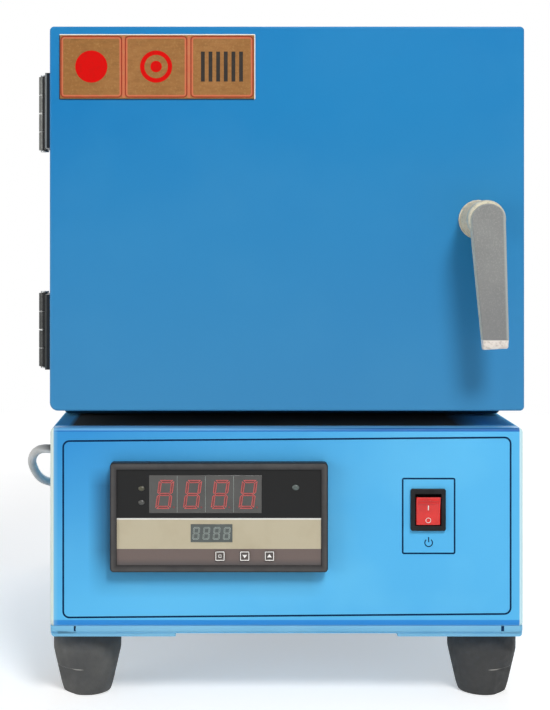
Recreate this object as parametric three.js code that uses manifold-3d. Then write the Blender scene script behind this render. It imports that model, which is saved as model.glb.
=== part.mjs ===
// Bench-top box furnace with a hinged door, a cam latch, a lower control box and a mains cord.
// Millimetres, +Z up. The door and the control panel face -Y, and +X is to the right of someone
// who stands in front of them. Heights are counted from the surface that the feet stand on.
import * as THREE from "three";
import { mergeVertices } from "three/addons/utils/BufferGeometryUtils.js";
import Module from "manifold-3d";

const wasm = await Module();
wasm.setup();

// Sheet metal and clearances
const sheet = 1.5;
const seat = 0.3;
const foldRadius = 2.4;
const returnDepth = 13;
const overrun = 4;
const roundSides = 24;
const smallSides = 14;
const nutSides = 6;
const arcSteps = 3;
const foldSteps = 2;

// Rubber feet
const footHeight = 47.8;
const footTopDiameter = 51;
const footBottomDiameter = 36.5;
const footRim = 3.4;
const footToe = 1.6;
const footRecessDiameter = 17;
const footRecessDepth = 12;
const footFlatHeight = 23.5;
const footFlatDepth = 2.4;
const footFromSide = 24.7;
const footFromEnd = 32;

// Control box under the furnace body
const baseWidth = 347.4;
const baseHeight = 153.1;
const baseDepth = 430;
const baseCorner = 3.2;
const trayLip = 6.9;
const trayRailHeight = 2.9;
const trayRailWidth = 91.5;
const trayRailInset = 0.8;
const panelLowerBend = 5.5;
const trayNotchHeight = 3.7;
const trayNotchRightWidth = 2.4;
const trayNotchLeftWidth = 0.9;
const trayNotchRightX = 158.6;
const trayNotchLeftX = -155.5;

// Cooling slots
const slotWidth = 4;
const slotLength = 46;
const slotPitch = 11;
const sideSlotCount = 8;
const sideSlotFromRear = 150;
const sideSlotFromBottom = 22;
const rearSlotCount = 10;
const coverSlotCount = 5;
const coverSlotLength = 26;
const coverSlotRows = 2;

// Furnace body
const bodyWidth = 341.4;
const bodyHeight = 295.7;
const bodyDepth = 358;
const bodyLift = 1.7;
const bodyCorner = 4;
const bodyBottomFlange = 21;
const bodyPadDiameter = 26;
const bodyPadInset = 28;

// Door
const doorWidth = 348;
const doorHeight = 281.8;
const doorThickness = 62;
const doorGap = 4;
const doorRise = 12.6;
const doorCorner = 3.2;
const doorLowerLeftCorner = 6;
const doorBrickMargin = 62;
const doorPlugReach = 12;
const doorPlugClearance = 4;
const sealWidth = 11;
const sealMargin = 9;

// Chamber, muffle and insulation
const chamberWidth = 120;
const chamberHeight = 80;
const chamberDepth = 200;
const chamberRise = 149.1;
const muffleSideWall = 20;
const muffleRoofWall = 14;
const muffleBackWall = 15;
const collarDepth = 22;
const mouthWidth = 132;
const mouthHeight = 92;
const mouthStep = 2;
const insulationGap = 3;

// Heating coils, which lie in grooves of the chamber's side walls
const wireDiameter = 1.8;
const coilDiameter = 10.2;
const curlsPerGroove = 15;
const curlSteps = 8;
const wireSides = 5;
const grooveDepth = 12;
const grooveHeight = 12.4;
const grooveSpacing = 40;
const grooveFromFront = 12;
const linkWidth = 12;
const grooveFromBack = 9;
const linkBendRadius = 3.4;
const tailHoleDiameter = 7;
const tailHoleSides = 8;

// Thermocouple
const sheathDiameter = 8;
const sheathReach = 45;
const sheathBelowRoof = 16;
const sheathHoleDiameter = 9;
const probeHeadDiameter = 27;
const probeHeadDepth = 17;
const probeFlangeDiameter = 38;
const probeFlangeDepth = 3;

// Heater terminals and their cover at the back
const terminalWidth = 26;
const terminalHeight = 66;
const terminalDepth = 13;
const studDiameter = 6;
const studReach = 11;
const terminalCoverWidth = 216;
const terminalCoverHeight = 122;
const terminalCoverDepth = 33;
const terminalCoverCorner = 4;

// Hinges
const hingeHeight = 57;
const hingeUpperZ = 437.5;
const hingeLowerZ = 269.2;
const hingeAxisOut = 11.4;
const hingePinDiameter = 3.8;
const hingeBore = 4.3;
const hingeBarrelDiameter = 9.2;
const hingeLeafThickness = 4.4;
const hingeLeafReach = 30;
const hingePacking = 3.2;
const hingePackingEdge = 2;
const knuckleCount = 4;
const pinHeadHeight = 1.2;
const pinHeadDiameter = 6.6;

// Door handle and latch
const handleX = 140.4;
const handleZ = 354.2;
const escutcheonDiameter = 29;
const escutcheonHeight = 2.2;
const hubDiameter = 27.4;
const handleStandOff = 40;
const bladeTopDiameter = 26;
const bladeEndWidth = 17.2;
const bladeLength = 92.3;
const bladeThickness = 11;
const bladeEndThickness = 8;
const bladeChamfer = 6.8;
const bladeEdge = 1.2;
const bladeLean = 3.4;
const spindleDiameter = 10;
const spindleClearance = 0.5;
const tongueReach = 17;
const tongueWidth = 9;
const tongueThickness = 4;
const tongueClearance = 1.6;
const latchPocketDiameter = 50;
const latchPocketDepth = 12;

// Temperature controller
const controllerX = -49.7;
const controllerZ = 137.2;
const bezelWidth = 158.8;
const bezelHeight = 79.6;
const bezelReach = 9.2;
const bezelCorner = 2.6;
const bezelEdge = 1.4;
const bezelFrame = 5;
const faceRecess = 1.3;
const faceThickness = 1.2;
const housingWidth = 151;
const housingHeight = 75;
const housingDepth = 92;
const upperWindowX = -9.9;
const upperWindowZ = 17.1;
const upperWindowWidth = 82;
const upperWindowHeight = 27.6;
const lowerWindowX = -5.4;
const lowerWindowZ = -11.3;
const lowerWindowWidth = 30.4;
const lowerWindowHeight = 13.1;
const keySize = 7.2;
const keyPitch = 18;
const keyX = 0.7;
const keyZ = -27.8;
const keyProud = 1.1;
const keyTravel = 0.5;
const keyWell = 2;
const clampWidth = 12;
const clampHeight = 22;
const clampDepth = 30;

// Power switch
const switchX = 103.7;
const switchZ = 141.5;
const switchWidth = 25.8;
const switchHeight = 30.8;
const switchReach = 2.3;
const switchCorner = 1.6;
const switchEdge = 0.6;
const switchBodyWidth = 22;
const switchBodyHeight = 27.4;
const switchBodyDepth = 22;
const rockerWidth = 18.6;
const rockerHalfHeight = 10.6;
const rockerProud = 3;
const rockerDip = 1.3;
const rockerPivotDepth = 3;
const rockerBack = 1.5;
const rockerBackShare = 0.8;
const rockerTilt = 8;
const rockerWell = 5.4;
const rockerGap = 1.1;

// Parts inside the control box
const relayWidth = 45;
const relayDepth = 58;
const relayHeight = 24;
const sinkWidth = 74;
const sinkDepth = 88;
const sinkBase = 6;
const sinkFinHeight = 24;
const sinkFinCount = 8;
const sinkFinThickness = 2;
const sinkX = 92;
const sinkY = 250;
const blockWidth = 62;
const blockDepth = 24;
const blockHeight = 20;
const blockPoles = 5;
const blockGrooveDepth = 6;
const blockGrooveWidth = 2;
const blockX = -100;
const blockY = 330;

// Mains cord
const cordDiameter = 8.5;
const glandY = 322;
const glandZ = 134.3;
const glandReach = 20;
const glandNutThickness = 5.6;
const glandNutDiameter = 22;
const glandThreadDiameter = 15.6;
const glandThreadReach = 9;
const glandLockThickness = 4;
const glandDomeDiameter = 17;
const glandTipDiameter = 10.6;
const cordTubeSteps = 32;
const cordTubeSides = 8;
const coilTurnsPerLayer = 2.625;
const coilClimbTurns = 0.5;
const coilInnerRadius = 34.2;
const coilTurnPitch = 9.2;
const coilLayerPitch = 9.2;
const coilSteps = 24;
const coilSides = 6;
const coilLead = 42;
const plugLength = 56;
const plugWidth = 37;
const plugThickness = 25;
const plugNeckLength = 16;
const plugNeckDiameter = 13;
const plugPinDiameter = 4.8;
const plugPinLength = 19;
const plugPinPitch = 19;
const plugGrip = 2.6;

// Where the cord runs between its gland and its coil
const cordRoute = [
  [-194, 322, 134.3], [-202, 322.6, 134.4], [-211.5, 326, 134.6], [-219.5, 332, 133.9],
  [-226, 339.5, 131.4], [-230.7, 347.5, 127.2], [-233.9, 355.5, 122], [-235.6, 363.5, 116.1],
  [-235.5, 371.5, 109.9], [-234.2, 379.5, 103.5], [-232, 387.2, 97.6], [-228.3, 395, 92.5],
  [-222.8, 402.7, 88.8], [-216.1, 409.3, 84.7], [-210.8, 416, 79.2], [-207, 422.5, 72.4],
  [-204.6, 429, 65], [-203, 435.5, 57], [-202, 444.5, 45.3], [-201, 454.5, 33.8],
  [-200.5, 465.3, 23], [-200, 477.4, 14], [-199.4, 488, 8.8], [-199, 500, 5.2], [-199, 512, 4.6],
];

// Levels and planes that several pieces share
const half = 0.5;
const baseBottom = footHeight + seat;
const baseTop = baseBottom + baseHeight;
const panelBottom = baseBottom + trayLip + seat;
const baseSide = baseWidth * half;
const bodyBottom = baseTop + bodyLift;
const bodyTop = bodyBottom + bodyHeight;
const bodySide = bodyWidth * half;
const bodyFront = doorThickness + doorGap;
const bodyBack = bodyFront + bodyDepth;
const doorSide = doorWidth * half;
const doorBottom = baseTop + doorRise;
const doorTop = doorBottom + doorHeight;
const chamberZ = bodyBottom + chamberRise;
const collarFront = bodyFront + sheet + seat;
const muffleFront = collarFront + collarDepth + seat;
const muffleSide = chamberWidth * half + muffleSideWall;
const muffleHalfHeight = chamberHeight * half + muffleRoofWall;
const chamberBack = muffleFront + chamberDepth;
const muffleBack = chamberBack + muffleBackWall;
const insulationSide = bodySide - sheet - insulationGap;
const rearPlateInside = bodyBack - sheet;
const hingeX = -doorSide - hingeAxisOut;
const hingeY = doorThickness + doorGap * half;

// Painted and moulded finishes
const finishes = {
  doorBlue: { color: 0x2e86c0, roughness: 0.42, metalness: 0.1 },
  panelBlue: { color: 0x5cb8ee, roughness: 0.45, metalness: 0.1 },
  rubber: { color: 0x3c3d3d, roughness: 0.85, metalness: 0 },
  darkPlastic: { color: 0x3b3a3b, roughness: 0.5, metalness: 0 },
  displayGrey: { color: 0x5d5c59, roughness: 0.25, metalness: 0 },
  cream: { color: 0xc4ba9f, roughness: 0.5, metalness: 0 },
  keyBrown: { color: 0x5a504c, roughness: 0.55, metalness: 0 },
  red: { color: 0xd23a34, roughness: 0.25, metalness: 0 },
  castAluminium: { color: 0x939594, roughness: 0.4, metalness: 0.9 },
  hingeSteel: { color: 0x53585a, roughness: 0.45, metalness: 0.8 },
  brightSteel: { color: 0xb4b7ba, roughness: 0.3, metalness: 0.95 },
  fibre: { color: 0xe9e5da, roughness: 0.95, metalness: 0 },
  firebrick: { color: 0xe0d3ba, roughness: 0.9, metalness: 0 },
  heatingWire: { color: 0x6f675f, roughness: 0.6, metalness: 0.7 },
  ceramic: { color: 0xe6e1d6, roughness: 0.5, metalness: 0 },
  brass: { color: 0xb8964e, roughness: 0.35, metalness: 0.9 },
  greyPlastic: { color: 0x9a9b9a, roughness: 0.6, metalness: 0 },
  cordGrey: { color: 0xb2b2b2, roughness: 0.6, metalness: 0 },
  blackPlastic: { color: 0x242425, roughness: 0.5, metalness: 0 },
};

// A closed triangle mesh made a solid, with its faces turned outwards if they point in
function solidOf(geometry) {
  const bare = geometry.clone();
  for (const name of Object.keys(bare.attributes)) {
    if (name !== "position") bare.deleteAttribute(name);
  }
  const merged = mergeVertices(bare, 1e-4);
  const points = new Float32Array(merged.attributes.position.array);
  const corners = new Uint32Array(merged.index.array);
  const kept = [];
  let volume = 0;
  for (let i = 0; i < corners.length; i += 3) {
    const [a, b, c] = [corners[i], corners[i + 1], corners[i + 2]];
    if (a === b || b === c || c === a) continue;
    kept.push(a, b, c);
    const [p, q, r] = [a, b, c].map((k) => new THREE.Vector3().fromArray(points, 3 * k));
    volume += p.dot(q.cross(r));
  }
  if (volume < 0) kept.reverse();
  const mesh = { numProp: 3, vertProperties: points, triVerts: new Uint32Array(kept) };
  return new wasm.Manifold(new wasm.Mesh(mesh));
}

// The same solid as a geometry that a mesh can show
function geometryOf(solid) {
  const { vertProperties, triVerts, numProp } = solid.getMesh();
  const points = new Float32Array((vertProperties.length / numProp) * 3);
  for (let i = 0; i * numProp < vertProperties.length; i += 1) {
    points.set(vertProperties.subarray(i * numProp, i * numProp + 3), i * 3);
  }
  const geometry = new THREE.BufferGeometry();
  geometry.setAttribute("position", new THREE.BufferAttribute(points, 3));
  geometry.setIndex(new THREE.BufferAttribute(new Uint32Array(triVerts), 1));
  geometry.computeVertexNormals();
  return geometry;
}

function joined(solids) {
  return solids.reduce((sum, solid) => sum.add(solid));
}

function cut(solid, cutters) {
  return cutters.reduce((rest, cutter) => rest.subtract(cutter), solid);
}

// A rectangle in a front view with its own radius at each corner: lower left, lower right,
// upper right, upper left
function outline(x0, x1, z0, z1, radii) {
  const [a, b, c, d] = Array.isArray(radii) ? radii : [radii, radii, radii, radii];
  const quarter = Math.PI * half;
  const shape = new THREE.Shape();
  shape.moveTo(x0 + a, z0);
  shape.lineTo(x1 - b, z0);
  if (b > 0) shape.absarc(x1 - b, z0 + b, b, -quarter, 0, false);
  shape.lineTo(x1, z1 - c);
  if (c > 0) shape.absarc(x1 - c, z1 - c, c, 0, quarter, false);
  shape.lineTo(x0 + d, z1);
  if (d > 0) shape.absarc(x0 + d, z1 - d, d, quarter, Math.PI, false);
  shape.lineTo(x0, z0 + a);
  if (a > 0) shape.absarc(x0 + a, z0 + a, a, Math.PI, Math.PI + quarter, false);
  return shape;
}

// A front-view shape carried back from y0 to y1
function slab(shape, y0, y1) {
  const settings = { depth: y1 - y0, bevelEnabled: false, curveSegments: arcSteps };
  const geometry = new THREE.ExtrudeGeometry(shape, settings);
  geometry.rotateX(Math.PI * half);
  geometry.translate(0, y1, 0);
  return solidOf(geometry);
}

// The same with its front edges rounded by a fold
function foldedSlab(shape, y0, y1, fold) {
  const settings = {
    depth: y1 - y0,
    bevelEnabled: true,
    bevelThickness: fold,
    bevelSize: fold,
    bevelOffset: -fold,
    bevelSegments: foldSteps,
    curveSegments: arcSteps,
  };
  const geometry = new THREE.ExtrudeGeometry(shape, settings);
  geometry.rotateX(Math.PI * half);
  geometry.translate(0, y1 + fold, 0);
  geometry.computeBoundingBox();
  const { min, max } = geometry.boundingBox;
  const behind = box(min.x - overrun, max.x + overrun, y1, max.y + overrun,
    min.z - overrun, max.z + overrun);
  return solidOf(geometry).subtract(behind);
}

function box(x0, x1, y0, y1, z0, z1) {
  const geometry = new THREE.BoxGeometry(x1 - x0, y1 - y0, z1 - z0);
  geometry.translate((x0 + x1) * half, (y0 + y1) * half, (z0 + z1) * half);
  return solidOf(geometry);
}

// A round bar along Y, along X or along Z
function rodY(diameter, x, z, y0, y1, sides = smallSides) {
  const geometry = new THREE.CylinderGeometry(diameter * half, diameter * half, y1 - y0, sides);
  geometry.translate(x, (y0 + y1) * half, z);
  return solidOf(geometry);
}

function rodZ(diameter, x, y, z0, z1, sides = smallSides) {
  const geometry = new THREE.CylinderGeometry(diameter * half, diameter * half, z1 - z0, sides);
  geometry.rotateX(Math.PI * half);
  geometry.translate(x, y, (z0 + z1) * half);
  return solidOf(geometry);
}

// What a bend of a given radius takes off a lower front edge that runs along X
function bentOff(x0, x1, y, z, radius) {
  const corner = box(x0 - overrun, x1 + overrun, y - overrun, y + radius, z - overrun, z + radius);
  const bend = rodZ(2 * radius, 0, 0, x0 - 2 * overrun, x1 + 2 * overrun, roundSides)
    .rotate([0, 90, 0]).translate([0, y + radius, z + radius]);
  return corner.subtract(bend);
}

// A pan folded from one sheet, open at the back: the outline's corners and front edges are round,
// and its lower front edge can be bent to a wider radius of its own
function pan(x0, x1, z0, z1, y0, y1, radii, lowerBend = 0) {
  const corners = Array.isArray(radii) ? radii : [radii, radii, radii, radii];
  const outer = foldedSlab(outline(x0, x1, z0, z1, corners), y0, y1, foldRadius);
  const innerCorners = corners.map((radius) => Math.max(radius - sheet, 0));
  const inner = slab(outline(x0 + sheet, x1 - sheet, z0 + sheet, z1 - sheet, innerCorners),
    y0 + sheet, y1 + overrun);
  if (lowerBend === 0) return outer.subtract(inner);
  return outer.subtract(bentOff(x0, x1, y0, z0, lowerBend))
    .subtract(inner.subtract(bentOff(x0, x1, y0 + sheet, z0 + sheet, lowerBend - sheet)));
}

// A profile of [radius, height] points turned about the Z axis
function turned(profile, sides = roundSides) {
  const points = profile.map(([radius, height]) => new THREE.Vector2(radius, height));
  const geometry = new THREE.LatheGeometry(points, sides);
  geometry.rotateX(Math.PI * half);
  return geometry;
}

// A bent wire or cord: rings of points carried along a line without twisting, closed at its ends
function bentTube(points, diameter, sides) {
  const tangents = points.map((point, i) => {
    const before = points[Math.max(i - 1, 0)];
    const after = points[Math.min(i + 1, points.length - 1)];
    return after.clone().sub(before).normalize();
  });
  const side = new THREE.Vector3(0, 0, 1);
  if (Math.abs(tangents[0].z) > Math.abs(tangents[0].x)) side.set(1, 0, 0);
  const normal = side.cross(tangents[0]).normalize();
  const positions = [];
  points.forEach((point, i) => {
    if (i > 0) {
      const turn = new THREE.Quaternion().setFromUnitVectors(tangents[i - 1], tangents[i]);
      normal.applyQuaternion(turn);
    }
    const binormal = tangents[i].clone().cross(normal);
    for (let k = 0; k < sides; k += 1) {
      const angle = (k / sides) * 2 * Math.PI;
      positions.push(point.clone()
        .addScaledVector(normal, Math.cos(angle) * diameter * half)
        .addScaledVector(binormal, Math.sin(angle) * diameter * half));
    }
  });
  const index = [];
  for (let i = 0; i + 1 < points.length; i += 1) {
    for (let k = 0; k < sides; k += 1) {
      const a = i * sides + k;
      const b = i * sides + ((k + 1) % sides);
      index.push(a, b, a + sides, b, b + sides, a + sides);
    }
  }
  const first = positions.length;
  positions.push(points[0], points[points.length - 1]);
  const lastRing = (points.length - 1) * sides;
  for (let k = 0; k < sides; k += 1) {
    const next = (k + 1) % sides;
    index.push(first, next, k, first + 1, lastRing + k, lastRing + next);
  }
  const geometry = new THREE.BufferGeometry().setFromPoints(positions);
  geometry.setIndex(index);
  return solidOf(geometry);
}

// The least gap that a bent tube leaves to itself between points a stretch of line apart
function leastGap(points, diameter, apart) {
  const places = [0];
  for (let i = 1; i < points.length; i += 1) {
    places.push(places[i - 1] + points[i].distanceTo(points[i - 1]));
  }
  let least = Infinity;
  for (let i = 0; i < points.length; i += 1) {
    for (let j = i + 1; j < points.length; j += 1) {
      if (places[j] - places[i] > apart) {
        least = Math.min(least, points[i].distanceTo(points[j]) - diameter);
      }
    }
  }
  return least;
}

const furnace = new THREE.Group();
const cordSet = new THREE.Group();

function piece(name, solid, finish, group = furnace) {
  const mesh = new THREE.Mesh(geometryOf(solid), new THREE.MeshStandardMaterial(finishes[finish]));
  mesh.name = name;
  group.add(mesh);
  return mesh;
}

// Feet: turned rubber cones with a rim at the top, a recess for the screw, and a flat towards the
// box's nearest corner
function foot(x, y, outwardX, outwardY) {
  const top = footTopDiameter * half;
  const bottom = footBottomDiameter * half;
  const recess = footRecessDiameter * half;
  const body = solidOf(turned([
    [0, footRecessDepth],
    [recess, footRecessDepth],
    [recess, 0],
    [bottom - footToe, 0],
    [bottom, footToe],
    [top, footHeight - footRim],
    [top, footHeight],
    [0, footHeight],
  ]));
  const slope = (top - bottom) / (footHeight - footRim - footToe);
  const flatTop = bottom + slope * footFlatHeight;
  const side = new THREE.Shape([
    new THREE.Vector2(bottom - footFlatDepth, -overrun),
    new THREE.Vector2(top + overrun, -overrun),
    new THREE.Vector2(top + overrun, footFlatHeight),
    new THREE.Vector2(flatTop - footFlatDepth, footFlatHeight),
  ]);
  const flat = slab(side, -top, top);
  const turn = (Math.atan2(outwardY, outwardX) * 180) / Math.PI;
  return body.subtract(flat.rotate([0, 0, turn])).translate([x, y, 0]);
}

const footX = baseSide - footFromSide;
for (const [side, sign] of [["left", -1], ["right", 1]]) {
  piece(`foot_front_${side}`, foot(sign * footX, footFromEnd, sign, -1), "rubber");
  piece(`foot_rear_${side}`, foot(sign * footX, baseDepth - footFromEnd, sign, 1), "rubber");
}

// Control box: a tray, a cover that is its sides and roof, a front panel and a rear panel
// The tray stands on two rails, which the feet are screwed to
function trayOfBase() {
  const plan = (inset) => {
    const corner = Math.max(baseCorner - inset, 0);
    const flat = outline(-baseSide + inset, baseSide - inset, inset, baseDepth - inset, corner);
    const settings = { depth: trayLip + overrun, bevelEnabled: false, curveSegments: arcSteps };
    return solidOf(new THREE.ExtrudeGeometry(flat, settings)).translate([0, 0, trayRailHeight]);
  };
  const inside = plan(sheet).translate([0, 0, sheet]);
  const above = box(-baseWidth, baseWidth, -overrun, baseDepth + overrun, trayLip,
    trayLip + 2 * overrun);
  const rails = [-1, 1].map((sign) => {
    const outer = sign * (baseSide - trayRailInset);
    const inner = outer - sign * trayRailWidth;
    return box(Math.min(outer, inner), Math.max(outer, inner), trayRailInset, baseDepth - trayRailInset,
      0, trayRailHeight + sheet * half);
  });
  const tray = joined([plan(0).subtract(inside).subtract(above), ...rails])
    .translate([0, 0, baseBottom]);
  const notch = (x, width) => box(x - width * half, x + width * half, -overrun, sheet + overrun,
    baseBottom + trayLip - trayNotchHeight, baseBottom + trayLip + overrun);
  return cut(tray, [
    notch(trayNotchLeftX, trayNotchLeftWidth),
    notch(trayNotchRightX, trayNotchRightWidth),
  ]);
}
piece("base_tray", trayOfBase(), "panelBlue");

const controllerCut = outline(
  controllerX - housingWidth * half - seat, controllerX + housingWidth * half + seat,
  controllerZ - housingHeight * half - seat, controllerZ + housingHeight * half + seat, 0,
);
const switchCut = outline(
  switchX - switchBodyWidth * half - seat, switchX + switchBodyWidth * half + seat,
  switchZ - switchBodyHeight * half - seat, switchZ + switchBodyHeight * half + seat, 0,
);
const frontPanel = cut(
  pan(-baseSide, baseSide, panelBottom, baseTop, 0, returnDepth, baseCorner, panelLowerBend),
  [slab(controllerCut, -overrun, sheet + overrun), slab(switchCut, -overrun, sheet + overrun)],
);
piece("front_panel", frontPanel, "panelBlue");

function coverOfBase() {
  const front = returnDepth + seat;
  const radii = [0, 0, baseCorner, baseCorner];
  const innerRadii = [0, 0, baseCorner - sheet, baseCorner - sheet];
  const outer = slab(outline(-baseSide, baseSide, panelBottom, baseTop, radii), front, baseDepth);
  const inner = slab(outline(-baseSide + sheet, baseSide - sheet, panelBottom - overrun,
    baseTop - sheet, innerRadii), front - overrun, baseDepth + overrun);
  const slots = [];
  for (let i = 0; i < sideSlotCount; i += 1) {
    const y = baseDepth - sideSlotFromRear - i * slotPitch;
    const z = panelBottom + sideSlotFromBottom;
    slots.push(box(-baseWidth, baseWidth, y - slotWidth, y, z, z + slotLength));
  }
  const glandHole = rodZ(glandThreadDiameter + 2 * seat, 0, 0, -sheet - overrun, sheet + overrun)
    .rotate([0, 90, 0]).translate([-baseSide, glandY, glandZ]);
  return cut(outer.subtract(inner), [...slots, glandHole]);
}
piece("base_cover", coverOfBase(), "panelBlue");

// Upright cooling slots in a rear-facing sheet
function slotRow(count, x, z0, z1, y0, y1) {
  const slots = [];
  for (let i = 0; i < count; i += 1) {
    const left = x + (i - (count - 1) * half) * slotPitch - slotWidth * half;
    slots.push(box(left, left + slotWidth, y0, y1, z0, z1));
  }
  return slots;
}

const baseInside = baseSide - sheet - seat;
const baseMiddle = (panelBottom + baseTop) * half;
const rearPanelFront = baseDepth - 2 * sheet - seat;
const rearPanelOutline = outline(-baseInside, baseInside, panelBottom, baseTop - sheet - seat,
  [0, 0, baseCorner, baseCorner]);
const rearPanel = cut(
  slab(rearPanelOutline, rearPanelFront, rearPanelFront + sheet),
  slotRow(rearSlotCount, 0, baseMiddle - slotLength * half, baseMiddle + slotLength * half,
    rearPanelFront - overrun, baseDepth + overrun),
);
piece("base_rear_panel", rearPanel, "panelBlue");

// Furnace body: a front plate and a rear plate folded as pans, and a wrap between them
const latchSlot = joined([
  rodY(spindleDiameter + 2 * tongueClearance, handleX, handleZ, bodyFront - overrun, collarFront),
  box(handleX - tongueWidth * half - tongueClearance, handleX + tongueWidth * half + tongueClearance,
    bodyFront - overrun, collarFront, handleZ - tongueReach - tongueClearance, handleZ),
]);
const mouthCut = (grow, y0, y1) => box(
  -mouthWidth * half - grow, mouthWidth * half + grow, y0, y1,
  chamberZ - mouthHeight * half - grow, chamberZ + mouthHeight * half + grow,
);
const bodyFrontPlate = cut(
  pan(-bodySide, bodySide, bodyBottom, bodyTop, bodyFront, bodyFront + returnDepth, bodyCorner),
  [mouthCut(mouthStep, bodyFront - overrun, collarFront), latchSlot],
);
piece("body_front_plate", bodyFrontPlate, "doorBlue");

const wrapFront = bodyFront + returnDepth + seat;
const wrapBack = bodyBack - returnDepth - seat;
const wrapOuter = slab(outline(-bodySide, bodySide, bodyBottom, bodyTop, bodyCorner), wrapFront, wrapBack);
const wrapInner = slab(outline(-bodySide + sheet, bodySide - sheet, bodyBottom + sheet,
  bodyTop - sheet, bodyCorner - sheet), wrapFront - overrun, wrapBack + overrun);
const bottomOpening = bodySide - bodyBottomFlange;
const wrapMouth = box(-bottomOpening, bottomOpening, wrapFront - overrun, wrapBack + overrun,
  bodyBottom - overrun, bodyBottom + sheet + overrun);
piece("body_wrap", cut(wrapOuter, [wrapInner, wrapMouth]), "doorBlue");

const bottomSide = bottomOpening - seat;
const bottomPads = [];
for (const x of [-bottomSide + bodyPadInset, bottomSide - bodyPadInset]) {
  for (const y of [wrapFront + bodyPadInset, wrapBack - bodyPadInset]) {
    bottomPads.push(rodZ(bodyPadDiameter, x, y, baseTop + seat, bodyBottom + sheet * half));
  }
}
const bodyBottomPlate = joined([
  box(-bottomSide, bottomSide, wrapFront, wrapBack, bodyBottom, bodyBottom + sheet),
  ...bottomPads,
]);
piece("body_bottom", bodyBottomPlate, "doorBlue");

// Where each coil's two tails pass the back wall: x of the groove's coil, z of both grooves
const coilOuter = coilDiameter * half;
const coilX = chamberWidth * half + grooveDepth - seat - coilOuter;
const grooveLowZ = chamberZ - grooveSpacing * half;
const grooveHighZ = chamberZ + grooveSpacing * half;
const coilDrop = grooveHeight * half - seat - coilOuter;
const coilLowZ = grooveLowZ - coilDrop;
const coilHighZ = grooveHighZ - coilDrop;
const sheathZ = chamberZ + chamberHeight * half - sheathBelowRoof;

function backHoles(y0, y1) {
  const holes = [rodY(sheathHoleDiameter, 0, sheathZ, y0, y1)];
  for (const x of [-coilX, coilX]) {
    for (const z of [coilLowZ, coilHighZ]) {
      holes.push(rodY(tailHoleDiameter, x, z, y0, y1, tailHoleSides));
    }
  }
  return holes;
}

function rearPlateOfBody() {
  const depth = returnDepth;
  const plate = pan(-bodySide, bodySide, bodyBottom, bodyTop, 0, depth, bodyCorner);
  const turnedBack = plate.rotate([0, 0, 180]).translate([0, bodyBack, 0]);
  return cut(turnedBack, backHoles(rearPlateInside - overrun, bodyBack + overrun));
}
piece("body_rear_plate", rearPlateOfBody(), "doorBlue");

// Insulation: fibre blocks round the muffle, with the back block as high and wide as the body
const insulationFront = bodyFront + sheet + seat;
const insulationBack = rearPlateInside - seat;
const insulationFloor = bodyBottom + sheet + seat;
const insulationRoof = bodyTop - sheet - insulationGap;
const muffleBottom = chamberZ - muffleHalfHeight;
const muffleTop = chamberZ + muffleHalfHeight;
const sideBlockFront = insulationFront;
const rearBlockFront = muffleBack + seat;

const latchPocket = rodY(latchPocketDiameter, handleX, handleZ,
  sideBlockFront - overrun, sideBlockFront + latchPocketDepth, roundSides);
const bottomBlock = box(-insulationSide, insulationSide, insulationFront, rearBlockFront - seat,
  insulationFloor, muffleBottom - seat);
piece("insulation_bottom", bottomBlock.subtract(latchPocket), "fibre");
const topBlock = box(-insulationSide, insulationSide, insulationFront, rearBlockFront - seat,
  muffleTop + seat, insulationRoof);
piece("insulation_top", topBlock.subtract(latchPocket), "fibre");
piece("insulation_left", box(-insulationSide, -muffleSide - seat, sideBlockFront, rearBlockFront - seat,
  muffleBottom, muffleTop), "fibre");
const rightBlock = box(muffleSide + seat, insulationSide, sideBlockFront, rearBlockFront - seat,
  muffleBottom, muffleTop);
piece("insulation_right", rightBlock.subtract(latchPocket), "fibre");
const rearBlock = box(-insulationSide, insulationSide, rearBlockFront, insulationBack,
  insulationFloor, insulationRoof);
piece("insulation_rear", cut(rearBlock, backHoles(rearBlockFront - overrun, bodyBack)), "fibre");

// Muffle: a ceramic roof, floor and back wall in one. Between roof and floor stands a heating
// plate on each side, with two grooves for the wire and an upright channel near the mouth where
// the wire crosses from one groove to the other.
const chamberSide = chamberWidth * half;
const chamberFloor = chamberZ - chamberHeight * half;
const chamberRoof = chamberZ + chamberHeight * half;
const muffle = cut(joined([
  box(-muffleSide, muffleSide, muffleFront, muffleBack, muffleBottom, chamberFloor),
  box(-muffleSide, muffleSide, muffleFront, muffleBack, chamberRoof, muffleTop),
  box(-chamberSide + seat, chamberSide - seat, chamberBack, muffleBack,
    chamberFloor - overrun, chamberRoof + overrun),
]), backHoles(chamberBack - overrun, muffleBack + overrun));
piece("muffle", muffle, "firebrick");

function heatingPlate(sign) {
  const across = (from, to) => (sign < 0 ? [-to, -from] : [from, to]);
  const plate = box(...across(chamberSide, muffleSide), muffleFront, muffleBack,
    chamberFloor + seat, chamberRoof - seat);
  const grooveAcross = across(chamberSide - overrun, chamberSide + grooveDepth);
  const grooveStart = muffleFront + grooveFromFront;
  const grooves = [grooveLowZ, grooveHighZ].map((z) => box(...grooveAcross, grooveStart,
    chamberBack - grooveFromBack, z - grooveHeight * half, z + grooveHeight * half));
  const channel = box(...grooveAcross, grooveStart, grooveStart + linkWidth, grooveLowZ, grooveHighZ);
  const holes = backHoles(chamberBack - grooveFromBack - overrun, muffleBack + overrun);
  return cut(plate, [...grooves, channel, ...holes]);
}
piece("heating_plate_left", heatingPlate(-1), "firebrick");
piece("heating_plate_right", heatingPlate(1), "firebrick");

const collar = box(-muffleSide, muffleSide, collarFront, muffleFront - seat, muffleBottom, muffleTop);
piece("muffle_collar", collar.subtract(mouthCut(0, collarFront - overrun, muffleFront)), "firebrick");

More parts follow.
